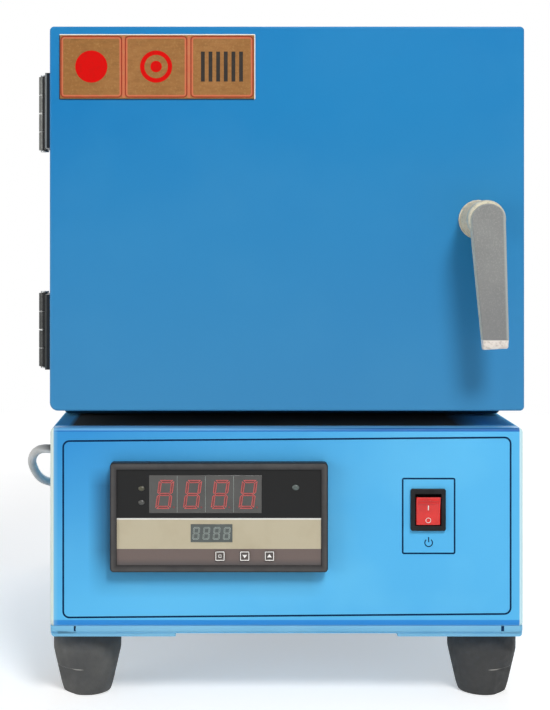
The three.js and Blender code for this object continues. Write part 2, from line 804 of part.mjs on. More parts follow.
// Heating coils: one wire on each side, wound along the lower groove, carried up near the mouth
// and wound back along the upper groove, with both tails straight through the back
function heatingWire(sign) {
  const x = sign * coilX;
  const wound = (coilDiameter - wireDiameter) * half;
  const front = muffleFront + grooveFromFront + linkWidth * half;
  const back = chamberBack - grooveFromBack - seat - wireDiameter;
  const woundFront = front + linkBendRadius + wireDiameter;
  const pitch = (back - woundFront) / curlsPerGroove;
  const points = [new THREE.Vector3(x, bodyBack, coilLowZ)];
  const total = curlsPerGroove * curlSteps;
  const winding = (z, from, to, hand) => {
    for (let i = 0; i <= total; i += 1) {
      const share = i / total;
      const grown = Math.min(i, total - i, curlSteps) / curlSteps;
      const angle = hand * (i / curlSteps) * 2 * Math.PI;
      points.push(new THREE.Vector3(
        x + Math.sin(angle) * wound * grown,
        from + (to - from) * share,
        z - Math.cos(angle) * wound * grown,
      ));
    }
  };
  winding(coilLowZ, woundFront + pitch * curlsPerGroove, woundFront, 1);
  const bend = linkBendRadius;
  const turnPoints = 3;
  for (let i = 0; i <= turnPoints; i += 1) {
    const angle = (i / turnPoints) * Math.PI * half;
    points.push(new THREE.Vector3(x, front + bend - Math.sin(angle) * bend,
      coilLowZ + bend - Math.cos(angle) * bend));
  }
  for (let i = 0; i <= turnPoints; i += 1) {
    const angle = (i / turnPoints) * Math.PI * half;
    points.push(new THREE.Vector3(x, front + bend - Math.cos(angle) * bend,
      coilHighZ - bend + Math.sin(angle) * bend));
  }
  winding(coilHighZ, woundFront, woundFront + pitch * curlsPerGroove, -1);
  points.push(new THREE.Vector3(x, bodyBack, coilHighZ));
  const curl = Math.PI * (coilDiameter - wireDiameter);
  const gap = leastGap(points, wireDiameter, curl * half);
  console.log(`heating coil: least gap to itself ${gap.toFixed(2)} mm`);
  return bentTube(points, wireDiameter, wireSides);
}
piece("heating_coil_left", heatingWire(-1), "heatingWire");
piece("heating_coil_right", heatingWire(1), "heatingWire");

// Thermocouple: a ceramic sheath into the chamber, with its flange and head behind the rear plate
const thermocouple = joined([
  rodY(sheathDiameter, 0, sheathZ, chamberBack - sheathReach, bodyBack + seat + probeFlangeDepth * half),
  rodY(probeFlangeDiameter, 0, sheathZ, bodyBack + seat, bodyBack + seat + probeFlangeDepth),
  rodY(probeHeadDiameter, 0, sheathZ, bodyBack + seat + probeFlangeDepth * half,
    bodyBack + seat + probeFlangeDepth + probeHeadDepth),
]);
piece("thermocouple", thermocouple, "ceramic");

// Heater terminals: a ceramic block with two threaded studs for each coil
const terminalFront = bodyBack + seat;
const terminalBack = terminalFront + terminalDepth;
for (const [side, sign] of [["left", -1], ["right", 1]]) {
  const x = sign * coilX;
  const middle = (coilLowZ + coilHighZ) * half;
  const block = slab(outline(x - terminalWidth * half, x + terminalWidth * half,
    middle - terminalHeight * half, middle + terminalHeight * half, terminalWidth * half * half),
  terminalFront, terminalBack);
  const studs = [coilLowZ, coilHighZ].map((z) => rodY(studDiameter, x, z,
    terminalBack - sheet, terminalBack + studReach));
  piece(`heater_terminal_${side}`, joined([block, ...studs]), "ceramic");
}

function terminalCover() {
  const middle = (coilLowZ + coilHighZ) * half;
  const side = terminalCoverWidth * half;
  const bottom = middle - terminalCoverHeight * half;
  const top = bottom + terminalCoverHeight;
  const shell = pan(-side, side, bottom, top, 0, terminalCoverDepth, terminalCoverCorner)
    .rotate([0, 0, 180]).translate([0, bodyBack + seat + terminalCoverDepth, 0]);
  const inset = (terminalCoverHeight - coverSlotRows * coverSlotLength) / (coverSlotRows + 1);
  const y0 = bodyBack + terminalCoverDepth - sheet - overrun;
  const y1 = bodyBack + terminalCoverDepth + overrun;
  const slots = [];
  for (let row = 0; row < coverSlotRows; row += 1) {
    const z = bottom + inset + row * (coverSlotLength + inset);
    for (const x of [-side * half, side * half]) {
      slots.push(...slotRow(coverSlotCount, x, z, z + coverSlotLength, y0, y1));
    }
  }
  return cut(shell, slots);
}
piece("terminal_cover", terminalCover(), "doorBlue");

// Door: an outer pan, an inner plate with a window, the brick with its plug, and a rope seal
const plugSide = mouthWidth * half - doorPlugClearance;
const plugHalfHeight = mouthHeight * half - doorPlugClearance;
const innerPlateFront = doorThickness - sheet;
const doorInside = doorSide - sheet - seat;
const spindleHole = (y0, y1) => rodY(spindleDiameter + 2 * spindleClearance, handleX, handleZ, y0, y1);
const doorRadii = [doorLowerLeftCorner, doorCorner, doorCorner, doorCorner];
const doorPan = pan(-doorSide, doorSide, doorBottom, doorTop, 0, doorThickness, doorRadii)
  .subtract(spindleHole(-overrun, sheet + overrun));
piece("door_pan", doorPan, "doorBlue");

const innerPlateOutline = outline(-doorInside, doorInside, doorBottom + sheet + seat,
  doorTop - sheet - seat, doorRadii);
const doorWindow = box(-plugSide - seat, plugSide + seat, innerPlateFront - overrun,
  doorThickness + overrun, chamberZ - plugHalfHeight - seat, chamberZ + plugHalfHeight + seat);
const doorInnerPlate = cut(slab(innerPlateOutline, innerPlateFront, doorThickness), [
  doorWindow,
  spindleHole(innerPlateFront - overrun, doorThickness + overrun),
]);
piece("door_inner_plate", doorInnerPlate, "doorBlue");

const brickSide = doorSide - doorBrickMargin;
const doorBrick = joined([
  box(-brickSide, brickSide, sheet + seat, innerPlateFront - seat,
    doorBottom + doorBrickMargin * half, doorTop - doorBrickMargin * half),
  box(-plugSide, plugSide, innerPlateFront - overrun, bodyFront + doorPlugReach,
    chamberZ - plugHalfHeight, chamberZ + plugHalfHeight),
]);
piece("door_brick", doorBrick, "firebrick");

const sealInner = outline(-plugSide - sealMargin, plugSide + sealMargin,
  chamberZ - plugHalfHeight - sealMargin, chamberZ + plugHalfHeight + sealMargin, sealMargin);
const sealOuterGrow = sealMargin + sealWidth;
const sealOuter = outline(-plugSide - sealOuterGrow, plugSide + sealOuterGrow,
  chamberZ - plugHalfHeight - sealOuterGrow, chamberZ + plugHalfHeight + sealOuterGrow, sealOuterGrow);
const sealBack = bodyFront - seat;
const doorSeal = slab(sealOuter, doorThickness + seat, sealBack)
  .subtract(slab(sealInner, doorThickness - overrun, sealBack + overrun));
piece("door_seal", doorSeal, "fibre");

// Hinges: full-surface leaves packed out from the sheet, with alternating knuckles on one pin
function hingeLeaf(z, sideX, sign, firstKnuckle) {
  const leafInner = -doorSide - hingePacking;
  const leafOuter = leafInner - hingeLeafThickness;
  const start = hingeY + sign * (hingeBarrelDiameter * half + seat);
  const end = hingeY + sign * hingeLeafReach;
  const [y0, y1] = sign < 0 ? [end, start] : [start, end];
  const low = z - hingeHeight * half;
  const knuckle = hingeHeight / knuckleCount;
  const parts = [
    box(leafOuter, leafInner, y0, y1, low, low + hingeHeight),
    box(leafInner - seat, sideX - seat, y0 + hingePackingEdge, y1 - hingePackingEdge,
      low + hingePackingEdge, low + hingeHeight - hingePackingEdge),
  ];
  for (let i = firstKnuckle; i < knuckleCount; i += 2) {
    const bottom = low + i * knuckle + (i > 0 ? seat * half : 0);
    const top = low + (i + 1) * knuckle - (i < knuckleCount - 1 ? seat * half : 0);
    const arm = sign < 0
      ? box(leafOuter, leafInner - seat, start - overrun, hingeY, bottom, top)
      : box(leafOuter, leafInner - seat, hingeY, start + overrun, bottom, top);
    parts.push(rodZ(hingeBarrelDiameter, hingeX, hingeY, bottom, top), arm);
  }
  const bore = rodZ(hingeBore, hingeX, hingeY, low - overrun, low + hingeHeight + overrun);
  return joined(parts).subtract(bore);
}

function hingePin(z) {
  const low = z - hingeHeight * half - seat;
  const high = z + hingeHeight * half + seat;
  return joined([
    rodZ(hingePinDiameter, hingeX, hingeY, low, high + pinHeadHeight * half),
    rodZ(pinHeadDiameter, hingeX, hingeY, high, high + pinHeadHeight),
    rodZ(pinHeadDiameter, hingeX, hingeY, low - pinHeadHeight, low),
  ]);
}

for (const [level, z] of [["upper", hingeUpperZ], ["lower", hingeLowerZ]]) {
  piece(`hinge_${level}_body_leaf`, hingeLeaf(z, -bodySide, 1, 0), "hingeSteel");
  piece(`hinge_${level}_door_leaf`, hingeLeaf(z, -doorSide, -1, 1), "hingeSteel");
  piece(`hinge_pin_${level}`, hingePin(z), "brightSteel");
}

// Handle: a hub that turns in an escutcheon and carries a tapering blade with a slanted end
piece("handle_escutcheon", cut(
  rodY(escutcheonDiameter, handleX, handleZ, -seat - escutcheonHeight, -seat, roundSides),
  [spindleHole(-overrun * 2, overrun)],
), "castAluminium");

function handleLever() {
  const top = bladeTopDiameter * half;
  const endHalf = bladeEndWidth * half;
  const hubBack = -2 * seat - escutcheonHeight;
  const face = -handleStandOff;
  const blade = new THREE.Shape();
  blade.moveTo(-endHalf, -bladeLength);
  blade.lineTo(endHalf, -bladeLength);
  blade.lineTo(top, 0);
  blade.absarc(0, 0, top, 0, Math.PI, false);
  blade.lineTo(-endHalf, -bladeLength);
  const flat = foldedSlab(blade, face, face + bladeThickness, bladeEdge);
  const under = new THREE.Shape([
    new THREE.Vector2(face + bladeThickness, -top),
    new THREE.Vector2(face + bladeThickness + overrun, -top),
    new THREE.Vector2(face + bladeThickness + overrun, -bladeLength - overrun),
    new THREE.Vector2(face + bladeEndThickness, -bladeLength - overrun),
  ]);
  const chamfer = new THREE.Shape([
    new THREE.Vector2(face - overrun, -bladeLength - overrun),
    new THREE.Vector2(face + bladeChamfer * half + overrun, -bladeLength - overrun),
    new THREE.Vector2(face + bladeChamfer * half, -bladeLength),
    new THREE.Vector2(face, -bladeLength + bladeChamfer),
    new THREE.Vector2(face - overrun, -bladeLength + bladeChamfer),
  ]);
  // Both cutters are drawn in a side view and carried across the blade's width
  const across = (shape) => slab(shape, -bladeTopDiameter, bladeTopDiameter).rotate([0, 0, 90]);
  const shaped = cut(flat, [across(under), across(chamfer)]);
  const hub = rodY(hubDiameter, 0, 0, face + bladeThickness * half, hubBack, roundSides);
  const socket = rodY(spindleDiameter + 2 * seat, 0, 0, face + bladeThickness + seat, hubBack + overrun);
  return joined([shaped, hub]).subtract(socket).rotate([0, -bladeLean, 0]).translate([handleX, 0, handleZ]);
}
piece("handle_lever", handleLever(), "castAluminium");

const tongueFront = collarFront;
const tongueBack = tongueFront + tongueThickness;
const spindleFront = -handleStandOff + bladeThickness + 2 * seat;
const spindleShoulder = tongueBack + seat;
piece("latch_spindle", joined([
  rodY(spindleDiameter, handleX, handleZ, spindleFront, tongueFront - seat),
  rodY(spindleDiameter * half, handleX, handleZ, tongueFront - overrun, spindleShoulder + sheet * half),
  rodY(spindleDiameter, handleX, handleZ, spindleShoulder, spindleShoulder + sheet),
]), "brightSteel");
piece("latch_tongue", cut(
  joined([
    rodY(spindleDiameter + tongueClearance, handleX, handleZ, tongueFront, tongueBack),
    box(handleX, handleX + tongueReach, tongueFront, tongueBack,
      handleZ - tongueWidth * half, handleZ + tongueWidth * half),
  ]),
  [rodY(spindleDiameter * half + 2 * seat, handleX, handleZ, tongueFront - overrun, tongueBack + overrun)],
), "brightSteel");

// Temperature controller: housing behind the panel, bezel in front, and a face with two windows
const faceFront = -bezelReach + faceRecess;
const faceBack = faceFront + faceThickness;
const bezelFloor = faceBack + seat;
const keyPlaces = [["set", 0], ["down", 1], ["up", 2]].map(([name, i]) => [
  name, controllerX + keyX + i * keyPitch, controllerZ + keyZ,
]);
const squareHole = (x, z, size, y0, y1) => box(x - size * half, x + size * half, y0, y1,
  z - size * half, z + size * half);
const windowAt = (x, z, width, height, grow) => outline(
  controllerX + x - width * half - grow, controllerX + x + width * half + grow,
  controllerZ + z - height * half - grow, controllerZ + z + height * half + grow, 0,
);
const bezelOuter = outline(controllerX - bezelWidth * half, controllerX + bezelWidth * half,
  controllerZ - bezelHeight * half, controllerZ + bezelHeight * half, bezelCorner);
const faceSide = bezelWidth * half - bezelFrame;
const faceHalfHeight = bezelHeight * half - bezelFrame;
const faceShape = (grow) => outline(
  controllerX - faceSide - grow, controllerX + faceSide + grow,
  controllerZ - faceHalfHeight - grow, controllerZ + faceHalfHeight + grow, 0,
);
const keyHoles = (y0, y1) => keyPlaces.map(([, x, z]) => squareHole(x, z, keySize + 2 * seat, y0, y1));
const bezel = cut(foldedSlab(bezelOuter, -bezelReach, -seat, bezelEdge), [
  slab(faceShape(seat), -bezelReach - overrun, bezelFloor),
  ...keyHoles(bezelFloor - overrun, bezelFloor + keyWell),
]);
piece("controller_bezel", bezel, "darkPlastic");
const windows = [
  [upperWindowX, upperWindowZ, upperWindowWidth, upperWindowHeight],
  [lowerWindowX, lowerWindowZ, lowerWindowWidth, lowerWindowHeight],
];
const faceplate = cut(slab(faceShape(0), faceFront, faceBack), [
  ...windows.map((place) => slab(windowAt(...place, seat), faceFront - overrun, faceBack + overrun)),
  ...keyHoles(faceFront - overrun, faceBack + overrun),
]);
piece("controller_faceplate", faceplate, "cream");
piece("display_upper", slab(windowAt(...windows[0], 0), faceFront + seat, faceBack), "displayGrey");
piece("display_lower", slab(windowAt(...windows[1], 0), faceFront + seat, faceBack), "displayGrey");
for (const [name, x, z] of keyPlaces) {
  piece(`key_${name}`, squareHole(x, z, keySize, faceFront - keyProud,
    bezelFloor + keyWell - seat - keyTravel), "keyBrown");
}
piece("controller_housing", box(
  controllerX - housingWidth * half, controllerX + housingWidth * half, 0, housingDepth,
  controllerZ - housingHeight * half, controllerZ + housingHeight * half,
), "blackPlastic");
for (const [side, sign] of [["left", -1], ["right", 1]]) {
  const inner = controllerX + sign * (housingWidth * half + seat);
  const outer = inner + sign * clampWidth;
  const [x0, x1] = sign < 0 ? [outer, inner] : [inner, outer];
  piece(`controller_clamp_${side}`, box(x0, x1, sheet + seat, clampDepth,
    controllerZ - clampHeight * half, controllerZ + clampHeight * half), "brightSteel");
}

// Power switch: a snap-in frame with a well, and the rocker that tips in it
const rockerHalfWidth = rockerWidth * half;
const wellHalfHeight = rockerHalfHeight + rockerGap;
const switchOutline = outline(switchX - switchWidth * half, switchX + switchWidth * half,
  switchZ - switchHeight * half, switchZ + switchHeight * half, switchCorner);
const switchFrame = cut(
  joined([
    foldedSlab(switchOutline, -switchReach, -seat, switchEdge),
    box(switchX - switchBodyWidth * half, switchX + switchBodyWidth * half, -seat - sheet, switchBodyDepth,
      switchZ - switchBodyHeight * half, switchZ + switchBodyHeight * half),
  ]),
  [box(switchX - rockerHalfWidth - seat, switchX + rockerHalfWidth + seat, -switchReach - overrun,
    rockerPivotDepth + rockerWell, switchZ - wellHalfHeight, switchZ + wellHalfHeight)],
);
piece("switch_frame", switchFrame, "blackPlastic");

function rocker() {
  const front = -rockerPivotDepth - rockerProud;
  const backHalf = rockerHalfHeight * rockerBackShare;
  const profile = new THREE.Shape([
    new THREE.Vector2(front, rockerHalfHeight),
    new THREE.Vector2(front + rockerDip, 0),
    new THREE.Vector2(front, -rockerHalfHeight),
    new THREE.Vector2(rockerBack, -backHalf),
    new THREE.Vector2(rockerBack, backHalf),
  ]);
  const across = slab(profile, -rockerHalfWidth, rockerHalfWidth).rotate([0, 0, 90]);
  return across.rotate([rockerTilt, 0, 0]).translate([switchX, rockerPivotDepth, switchZ]);
}
piece("switch_rocker", rocker(), "red");

// Inside the control box: the relay on its finned heat sink, and the terminal block
const trayTop = baseBottom + trayRailHeight + sheet;
const sinkLow = trayTop + seat;
const sinkFins = [];
for (let i = 0; i < sinkFinCount; i += 1) {
  const x = sinkX - sinkWidth * half + ((sinkWidth - sinkFinThickness) * i) / (sinkFinCount - 1);
  sinkFins.push(box(x, x + sinkFinThickness, sinkY - sinkDepth * half, sinkY + sinkDepth * half,
    sinkLow, sinkLow + sinkFinHeight + sheet));
}
const sinkTop = sinkLow + sinkFinHeight + sinkBase;
piece("heat_sink", joined([
  box(sinkX - sinkWidth * half, sinkX + sinkWidth * half, sinkY - sinkDepth * half,
    sinkY + sinkDepth * half, sinkLow + sinkFinHeight, sinkTop),
  ...sinkFins,
]), "castAluminium");
const relayBottom = sinkTop + seat;
piece("solid_state_relay", box(
  sinkX - relayWidth * half, sinkX + relayWidth * half,
  sinkY - relayDepth * half, sinkY + relayDepth * half, relayBottom, relayBottom + relayHeight,
), "greyPlastic");
const blockTop = trayTop + seat + blockHeight;
const blockGrooves = [];
for (let i = 1; i < blockPoles; i += 1) {
  const x = blockX - blockWidth * half + (blockWidth * i) / blockPoles;
  blockGrooves.push(box(x - blockGrooveWidth * half, x + blockGrooveWidth * half,
    blockY - blockDepth, blockY + blockDepth, blockTop - blockGrooveDepth, blockTop + overrun));
}
const blockBody = box(blockX - blockWidth * half, blockX + blockWidth * half,
  blockY - blockDepth * half, blockY + blockDepth * half, trayTop + seat, blockTop);
piece("terminal_block", cut(blockBody, blockGrooves), "blackPlastic");

// Cable gland in the left wall: thread, six-sided nut, dome and tapered sleeve, and lock nut inside
function cableGland() {
  const wall = -baseSide;
  const thread = glandThreadDiameter * half;
  const inner = -sheet - seat;
  const lockNut = inner - glandLockThickness;
  const nutFace = seat + glandNutThickness;
  const sleeve = solidOf(turned([
    [0, lockNut - seat],
    [thread, lockNut - seat],
    [thread, nutFace - seat],
    [glandDomeDiameter * half, nutFace - seat],
    [glandDomeDiameter * half, nutFace + glandLockThickness],
    [glandTipDiameter * half, glandReach - seat],
    [0, glandReach - seat],
  ], smallSides));
  const nut = rodZ(glandNutDiameter, 0, 0, seat, nutFace, nutSides);
  const lock = rodZ(glandNutDiameter, 0, 0, lockNut, inner, nutSides);
  const stub = rodZ(glandThreadDiameter, 0, 0, -glandThreadReach, lockNut);
  return joined([sleeve, nut, lock, stub]).rotate([0, -90, 0]).translate([wall, glandY, glandZ]);
}
piece("cable_gland", cableGland(), "blackPlastic");

// The free stretch of the cord from its gland to its coil
const route = new THREE.CatmullRomCurve3(
  cordRoute.map(([x, y, z]) => new THREE.Vector3(x, y, z)), false, "centripetal");
const section = new THREE.Shape();
section.absarc(0, 0, cordDiameter * half, 0, 2 * Math.PI, false);
const sweep = {
  steps: cordTubeSteps,
  extrudePath: route,
  bevelEnabled: false,
  curveSegments: cordTubeSides * half,
};
piece("power_cord", solidOf(new THREE.ExtrudeGeometry(section, sweep)), "cordGrey", cordSet);

// The rest of the cord in a round coil of two layers: it winds in, climbs a layer in the half turn
// where the spiral reverses, winds out again and runs straight to the plug
function coilLine() {
  const [startX, startY, startZ] = cordRoute[cordRoute.length - 1];
  const outerRadius = coilInnerRadius + coilTurnsPerLayer * coilTurnPitch;
  const centreX = startX + outerRadius;
  const centreY = startY + seat + cordDiameter;
  const points = [new THREE.Vector3(startX, startY + seat, startZ)];
  const turns = 2 * coilTurnsPerLayer;
  const total = Math.round(turns * coilSteps);
  for (let i = 0; i <= total; i += 1) {
    const turn = (i / total) * turns;
    const fromReversal = turn - coilTurnsPerLayer;
    const radius = coilInnerRadius + Math.abs(fromReversal) * coilTurnPitch;
    const climb = Math.min(Math.max(fromReversal / coilClimbTurns + half, 0), 1);
    const ease = climb * climb * (3 - 2 * climb);
    const angle = Math.PI - turn * 2 * Math.PI;
    points.push(new THREE.Vector3(centreX + Math.cos(angle) * radius,
      centreY + Math.sin(angle) * radius, startZ + ease * coilLayerPitch));
  }
  const last = points[points.length - 1];
  points.push(new THREE.Vector3(last.x + coilLead, last.y, last.z));
  return points;
}
const coilPoints = coilLine();
const coilGap = leastGap(coilPoints, cordDiameter, coilInnerRadius);
console.log(`cord coil: least gap to itself ${coilGap.toFixed(2)} mm`);
piece("cord_coil", bentTube(coilPoints, cordDiameter, coilSides), "cordGrey", cordSet);

function lineLength(points) {
  return points.slice(1).reduce((sum, point, i) => sum + point.distanceTo(points[i]), 0);
}
const cordLength = route.getLength() + lineLength(coilPoints);
console.log(`cord: ${cordLength.toFixed(0)} mm long`);

// Plug: a moulded grip that tapers to the cord, and two round pins
function plug() {
  const side = plugWidth * half;
  const neck = plugNeckDiameter * half;
  const grip = new THREE.Shape([
    new THREE.Vector2(plugNeckLength, -side + plugGrip * 2),
    new THREE.Vector2(plugNeckLength + plugGrip * 2, -side + plugGrip),
    new THREE.Vector2(plugLength - plugGrip * 3, -side + plugGrip),
    new THREE.Vector2(plugLength - plugGrip, -side),
    new THREE.Vector2(plugLength, -side),
    new THREE.Vector2(plugLength, side),
    new THREE.Vector2(plugLength - plugGrip, side),
    new THREE.Vector2(plugLength - plugGrip * 3, side - plugGrip),
    new THREE.Vector2(plugNeckLength + plugGrip * 2, side - plugGrip),
    new THREE.Vector2(plugNeckLength, side - plugGrip * 2),
  ]);
  const settings = { depth: plugThickness, bevelEnabled: false };
  const body = solidOf(new THREE.ExtrudeGeometry(grip, settings)).translate([0, 0, -plugThickness * half]);
  const sleeve = solidOf(turned([
    [0, 0],
    [neck, 0],
    [neck + plugGrip, plugNeckLength + plugGrip],
    [0, plugNeckLength + plugGrip],
  ], smallSides)).rotate([0, 90, 0]);
  const pins = [-1, 1].map((sign) => rodZ(plugPinDiameter, 0, 0, 0, plugPinLength + plugGrip)
    .rotate([0, 90, 0]).translate([plugLength - plugGrip, sign * plugPinPitch * half, 0]));
  return joined([body, sleeve, ...pins]);
}
const cordEnd = coilPoints[coilPoints.length - 1];
piece("power_plug", plug().translate([cordEnd.x + seat, cordEnd.y, cordEnd.z]), "cordGrey", cordSet);

// The origin is under the middle of the furnace, without its cord, on the surface it stands on
const extent = new THREE.Box3().setFromObject(furnace);
const middle = extent.getCenter(new THREE.Vector3());
const assembly = new THREE.Group();
assembly.add(furnace, cordSet);
assembly.position.set(-middle.x, -middle.y, -extent.min.z);
assembly.updateMatrixWorld(true);

export default assembly;
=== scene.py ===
import math

import bmesh
import bpy
from mathutils import Matrix, Vector


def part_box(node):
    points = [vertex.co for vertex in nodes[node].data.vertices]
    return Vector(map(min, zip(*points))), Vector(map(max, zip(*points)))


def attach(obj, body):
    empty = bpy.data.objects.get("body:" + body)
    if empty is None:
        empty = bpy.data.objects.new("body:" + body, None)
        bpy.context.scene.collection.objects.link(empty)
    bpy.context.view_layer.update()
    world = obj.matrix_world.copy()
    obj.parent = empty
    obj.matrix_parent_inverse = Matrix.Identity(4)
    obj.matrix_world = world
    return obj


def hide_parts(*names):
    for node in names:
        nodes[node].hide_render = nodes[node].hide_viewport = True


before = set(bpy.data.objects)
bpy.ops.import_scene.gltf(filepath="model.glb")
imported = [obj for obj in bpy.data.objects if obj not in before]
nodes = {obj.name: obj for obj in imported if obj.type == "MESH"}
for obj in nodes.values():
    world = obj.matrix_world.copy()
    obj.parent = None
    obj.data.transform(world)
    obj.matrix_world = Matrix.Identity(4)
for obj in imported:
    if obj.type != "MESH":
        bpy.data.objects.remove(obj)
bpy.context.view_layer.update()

# Camera. It is level and stands a metre in front of the door, a little to the left of the middle,
# at the height of the door's centre. The pixel counts are those of a picture of 550 by 710.
MM = 0.001
picture_width = 550
picture_height = 710
aim_across = 215
aim_down = 234
pixels_per_mm = 1.3625
view_distance = 1000
sensor_height = 36

eye = bpy.data.objects.new("camera", bpy.data.cameras.new("camera"))
bpy.context.scene.collection.objects.link(eye)
eye.location = Vector((-43.15, -1208.65, 343.7)) * MM
eye.rotation_euler = (math.radians(90), 0, 0)
eye.data.sensor_fit = "VERTICAL"
eye.data.sensor_height = sensor_height
eye.data.lens = sensor_height * pixels_per_mm * view_distance / picture_height
eye.data.shift_x = (picture_width / 2 - aim_across) / picture_height
eye.data.shift_y = (aim_down - picture_height / 2) / picture_height
bpy.context.scene.camera = eye

# Mains cord: a round grey lead in PVC that leaves the gland on the left wall, loops forward and
# down beside the box and runs to the bench behind it, where the rest lies in a round coil.
cord_diameter = 0.0085
cord_route = [
    (-0.18455, 0.11335, 0.1343), (-0.19255, 0.11395, 0.1344), (-0.20205, 0.11735, 0.1346),
    (-0.21005, 0.12335, 0.1339), (-0.21655, 0.13085, 0.1314), (-0.22125, 0.13885, 0.1272),
    (-0.22445, 0.14685, 0.1220), (-0.22615, 0.15485, 0.1161), (-0.22605, 0.16285, 0.1099),
    (-0.22475, 0.17085, 0.1035), (-0.22255, 0.17855, 0.0976), (-0.21885, 0.18635, 0.0925),
    (-0.21335, 0.19405, 0.0888), (-0.20665, 0.20065, 0.0847), (-0.20135, 0.20735, 0.0792),
    (-0.19755, 0.21385, 0.0724), (-0.19515, 0.22035, 0.0650), (-0.19355, 0.22685, 0.0570),
    (-0.19255, 0.23585, 0.0453), (-0.19155, 0.24585, 0.0338), (-0.19105, 0.25665, 0.0230),
    (-0.19055, 0.26875, 0.0140), (-0.18995, 0.27935, 0.0088), (-0.18955, 0.29135, 0.0052),
    (-0.18955, 0.30335, 0.0046),
]
turns_in_a_layer = 2.625
turns_to_climb = 0.5
coil_inner_radius = 0.0342
turn_pitch = 0.0092
layer_pitch = 0.0092
points_in_a_turn = 24
lead_to_plug = 0.042
butt_gap = 0.0003


def coil_points():
    start = Vector(cord_route[-1])
    outer = coil_inner_radius + turns_in_a_layer * turn_pitch
    centre = start + Vector((outer, butt_gap + cord_diameter, 0))
    turns = 2 * turns_in_a_layer
    total = round(turns * points_in_a_turn)
    points = []
    for step in range(1, total + 1):
        turn = turns * step / total
        past_middle = turn - turns_in_a_layer
        radius = coil_inner_radius + abs(past_middle) * turn_pitch
        climb = min(max(past_middle / turns_to_climb + 0.5, 0), 1)
        rise = climb * climb * (3 - 2 * climb) * layer_pitch
        angle = math.pi - turn * math.tau
        points.append(centre + Vector((math.cos(angle) * radius, math.sin(angle) * radius, rise)))
    points.append(points[-1] + Vector((lead_to_plug, 0, 0)))
    return centre, points


coil_centre, wound_points = coil_points()
line = bpy.data.curves.new("mains_lead", "CURVE")
line.dimensions = "3D"
line.resolution_u = 5
line.bevel_depth = cord_diameter / 2
line.bevel_resolution = 5
line.use_fill_caps = True
run = line.splines.new("BEZIER")
run_points = [Vector(point) for point in cord_route] + wound_points
run.bezier_points.add(len(run_points) - 1)
for knot, point in zip(run.bezier_points, run_points):
    knot.co = point
    knot.handle_left_type = "AUTO"
    knot.handle_right_type = "AUTO"
mains_lead = bpy.data.objects.new("mains_lead", line)
bpy.context.scene.collection.objects.link(mains_lead)


# A colour given in screen values of 0 to 255, as the linear values that a shader takes
def colour(red, green, blue):
    def channel(value):
        share = value / 255
        return share / 12.92 if share <= 0.04045 else ((share + 0.055) / 1.055) ** 2.4
    return (channel(red), channel(green), channel(blue), 1)


